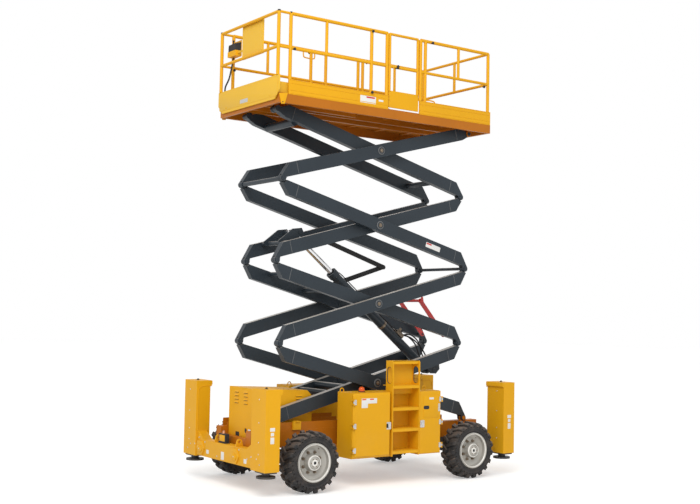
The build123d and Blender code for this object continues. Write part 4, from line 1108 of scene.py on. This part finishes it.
def make_toe_trim():
    """Pressed ribs, labels and the handle of the toe boards."""
    ribs, labels, bars, handle = (bmesh.new() for _ in range(4))
    start, end = toe_low.x + 0.02, toe_high.x - 0.02
    for sy, low_x, high_x in ((1, start, -0.520), (1, 0.040, end), (-1, start, end)):
        for z in rib_heights:
            pipe(ribs, [(x, sy * (toe_face - 0.0005), z) for x in (low_x, high_x)], 0.0045, 8)
    for x, z, width, height in ((0.430, 5.538, 0.280, 0.105), (0.195, 5.550, 0.085, 0.028)):
        blank_label(labels, facing((x, toe_face, z), (0, 1, 0)), width, height)
    plate(bars, facing((0.385, toe_face + label_depth, 5.572), (0, 1, 0)), 0.150, 0.022, 0.003, mark_depth)
    bow = ((-0.655, 5.640), (-0.670, 5.672), (-0.750, 5.680), (-0.830, 5.672), (-0.845, 5.640))
    pipe(handle, smooth_path([(x, rail_y, z) for x, z in bow]), 0.010)
    finish_mesh("toe_board_ribs", ribs, "amber_paint", "platform")
    finish_mesh("toe_board_labels", labels, "label_white", "platform")
    finish_mesh("toe_board_bars", bars, "red_paint", "platform")
    finish_mesh("toe_board_handle", handle, "amber_paint", "platform")


def make_rail_knobs():
    """Black locking knobs, pins and tube caps on the rails, and the bent handle on the right ones."""
    knobs, deck_caps, latch, handle = (bmesh.new() for _ in range(4))
    knob = ((0.010, 0), (0.010, 0.014), (0.019, 0.018), (0.021, 0.030), (0.017, 0.037), (0, 0.038))
    tube_cap = ((0.0235, 0), (0.0235, 0.020), (0.018, 0.0265), (0, 0.0275))
    spots = [(x, sy * (rail_y + 0.018), z, sy) for x, z in knob_places for sy in (1, -1)]
    spots += [(1.760, 0.018 - rail_y, 6.050, 1), (1.716, rail_y + 0.018, 6.075, 1)]
    for x, y, z, sy in spots:
        turned(knobs, facing((x, y, z), (0, sy, 0)), knob, 18)
    turned(knobs, move(1.760, rail_y, rail_top), tube_cap, 20)
    for sy in (1, -1):
        turned(deck_caps, move(1.955, sy * rail_y, rail_top), tube_cap, 20)
    turned(latch, facing((-0.102, rail_y + 0.014, 6.100), (0, 1, 0)), knob, 18)
    block_between(latch, (-0.135, rail_y - 0.006, 6.070), (-0.070, rail_y + 0.026, 6.082), 0.003)
    bow = ((0.300, 0, 6.560), (0.300, 0.004, 6.480), (0.330, 0.004, 6.450), (0.480, 0.004, 6.450),
           (0.510, 0.004, 6.480), (0.510, 0, 6.560))
    pipe(handle, smooth_path([(x, out - rail_y, z) for x, out, z in bow]), 0.010)
    finish_mesh("rail_knobs", knobs, "black_plastic", "platform")
    finish_mesh("extension_tube_caps", deck_caps, "black_plastic", "extension")
    finish_mesh("gate_latch", latch, "black_plastic", "gate")
    finish_mesh("rail_handle", handle, "amber_paint", "platform")


def make_front_plate_trim():
    """Pressed face, a blank plate and hanging brackets on the front plate of the roll-out deck."""
    press, blank, hangers, holes = (bmesh.new() for _ in range(4))
    plate(press, facing((deck_front, 0.0, 5.525), ahead), 1.640, 0.250, 0.030, plate_press, 0.001, 6)
    for y in (-0.62, 0.62):
        bolt(press, (deck_front + plate_press, y, 5.43), ahead, 0.008, 0.007)
    blank_label(blank, facing((deck_front + plate_press, -0.090, 5.458), ahead), 0.220, 0.056, 0.006)
    hanger = ((1.946, 5.434), (1.804, 5.452), (1.850, 5.296), (1.905, 5.290))
    for sy in (1, -1):
        outline = [(-sy * (x - hanger_x), z - hanger_z) for x, z in hanger]
        slab(hangers, facing((hanger_x, sy * hanger_y, hanger_z), (0, sy, 0)), outline[::-sy], 0.006, 0.0015)
        hole = facing((1.884, sy * (hanger_y + 0.006), 5.318), (0, sy, 0))
        # each hole is a thin black disc: painted shade in the hole
        turned(holes, hole, ((0.009, 0), (0.009, mark_depth), (0, mark_depth)), 16)
    face_outwards(hangers)
    # the pressed face takes the paled amber, a painted highlight
    finish_mesh("front_plate_press", press, "painted_highlight_amber", "extension")
    finish_mesh("front_plate_blank", blank, "bright_steel", "extension")
    finish_mesh("deck_hangers", hangers, "amber_paint", "extension")
    finish_mesh("deck_hanger_holes", holes, "black_plastic", "extension")


def make_controller():
    """Controller with a joystick, three buttons and its lead, on a bent bracket."""
    work, bracket = bmesh.new(), bmesh.new()
    block_between(work, (1.812, -0.700, 6.290), (1.905, -0.490, 6.372), 0.010)
    wedge = ((0.0, 0.0), (0.090, 0.0), (0.090, 0.018), (0.0, 0.050))
    slab(work, axes((1.812, -0.700, 6.370), (1, 0, 0), (0, 0, 1), (0, 1, 0)), wedge, 0.210, 0.004)
    face_outwards(work)
    stick = ((0.024, 0), (0.020, 0.012), (0.009, 0.016), (0.009, 0.040), (0.015, 0.050), (0.013, 0.068),
             (0, 0.070))
    turned(work, move(controller_x, -0.640, controller_top), stick)
    for y in button_places:
        stud(work, move(controller_x, y, controller_top), 0.010, 0.010, 0.008, 0.013, 12)
    lead = ((1.850, -0.640, 6.210), (1.853, -0.660, 6.120), (1.880, -0.700, 5.900), (1.930, -0.720, 5.760),
            (1.932, -0.725, 5.640))
    pipe(work, smooth_path(lead, 6), 0.012)
    finish_mesh("controller", work, "black_plastic", "extension")
    block_between(bracket, (1.802, -0.710, 6.205), (1.912, -0.480, 6.288), 0.006)
    block_between(bracket, (1.802, -0.710, 6.282), (1.810, -0.480, 6.450), 0.002)
    finish_mesh("controller_bracket", bracket, "amber_paint", "extension")


def make_document_panel():
    """The document panel with its strap, in place of the console's plain blocks."""
    panel, strap = bmesh.new(), bmesh.new()
    block_between(panel, (1.905, panel_y, 6.085), (1.930, 0.330, 6.580), 0.006)
    pipe(panel, [(1.926, y, 6.110) for y in (-0.235, 0.325)], 0.006, 8)
    block_between(panel, (1.850, -0.480, 6.240), (1.868, panel_y, 6.268), 0.003)
    block_between(panel, (1.850, -0.262, 6.240), (1.910, -0.238, 6.268), 0.003)
    # the document panel takes the paled amber, a painted highlight
    plates = finish_mesh("document_panel", panel, "painted_highlight_amber", "extension")
    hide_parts("platform_console")
    block_between(strap, (1.899, 0.296, 6.120), (1.906, 0.308, 6.500), 0.002)
    finish_mesh("document_panel_strap", strap, "black_plastic", "extension")


make_toe_trim()
make_rail_knobs()
make_front_plate_trim()
make_controller()
make_document_panel()

# ---------------- floor, light and camera

floor_size, floor_colour, floor_glow = 60, (0.86, 0.86, 0.85, 1), 0.36
sky_strength, seen_strength = 0.72, 1.0
lamp_place, lamp_aim, lamp_size, lamp_power = (9.0, 10.0, 13.0), (0, 0, 2.5), 9.0, 1500
camera_place = (9.5631, 13.2704, 2.4634)
camera_yaw, camera_pitch, camera_roll = 4.0953, 0.0572, 0.0188
lens_length, sensor_width, shift_across, shift_up = 55.26, 36.0, 0.0028, -0.0027


def ray_mask(tree, kinds):
    """1 for rays of these kinds, 0 for others."""
    path = place(tree, "ShaderNodeLightPath").outputs
    seen = path[kinds[0]]
    for kind in kinds[1:]:
        seen = maths(tree, "MAXIMUM", seen, path[kind])
    return seen


def make_floor():
    """A pale floor that runs out of view."""
    grid = bmesh.new()
    bmesh.ops.create_grid(grid, x_segments=1, y_segments=1, size=floor_size)
    mesh = bpy.data.meshes.new("floor")
    grid.to_mesh(mesh)
    grid.free()
    floor = bpy.data.objects.new("floor", mesh)
    bpy.context.scene.collection.objects.link(floor)
    material = bpy.data.materials.new("pale_floor")
    material.use_nodes = True
    tree = material.node_tree
    principled = fill(tree, tree.nodes["Principled BSDF"], {"Base Color": floor_colour, "Roughness": 0.9})
    seen = ray_mask(tree, ("Is Camera Ray", "Is Glossy Ray"))
    glow = place(tree, "ShaderNodeEmission", {"Strength": times(tree, seen, floor_glow)})
    both = place(tree, "ShaderNodeAddShader", {0: principled.outputs[0], 1: glow.outputs[0]})
    tree.links.new(both.outputs[0], tree.nodes["Material Output"].inputs[0])
    floor.data.materials.append(material)


def make_light():
    """A bright even sky and one broad lamp from the front left."""
    world = bpy.data.worlds.new("studio")
    world.use_nodes = True
    tree = world.node_tree
    white = (1.0, 1.0, 1.0, 1)
    sky = fill(tree, tree.nodes["Background"], {"Color": white, "Strength": sky_strength})
    seen = place(tree, "ShaderNodeBackground", {"Color": white, "Strength": seen_strength})
    plain = ray_mask(tree, ("Is Camera Ray", "Is Glossy Ray", "Is Transmission Ray"))
    mix = place(tree, "ShaderNodeMixShader", {0: plain, 1: sky.outputs[0], 2: seen.outputs[0]})
    tree.links.new(mix.outputs[0], tree.nodes["World Output"].inputs[0])
    bpy.context.scene.world = world
    data = bpy.data.lights.new("key", "AREA")
    data.energy = lamp_power
    data.size = lamp_size
    lamp = bpy.data.objects.new("key", data)
    lamp.location = lamp_place
    lamp.rotation_euler = (Vector(lamp_aim) - Vector(lamp_place)).to_track_quat("-Z", "Y").to_euler()
    bpy.context.scene.collection.objects.link(lamp)


def make_camera():
    """The camera stands ahead and to the left of the machine, a little above eye height."""
    data = bpy.data.cameras.new("camera")
    data.lens = lens_length
    data.sensor_width = sensor_width
    data.shift_x = shift_across
    data.shift_y = shift_up
    data.clip_end = 200
    camera = bpy.data.objects.new("camera", data)
    level = Vector((math.cos(camera_yaw), math.sin(camera_yaw), 0)) * math.cos(camera_pitch)
    look = level + Vector((0, 0, math.sin(camera_pitch)))
    right = Vector((math.sin(camera_yaw), -math.cos(camera_yaw), 0))
    up = right.cross(look)
    cos, sin = math.cos(camera_roll), math.sin(camera_roll)
    camera.matrix_world = axes(camera_place, cos * right + sin * up, cos * up - sin * right, -look)
    bpy.context.scene.collection.objects.link(camera)
    bpy.context.scene.camera = camera


make_floor()
make_light()
make_camera()
bpy.context.scene.view_settings.view_transform = "Standard"
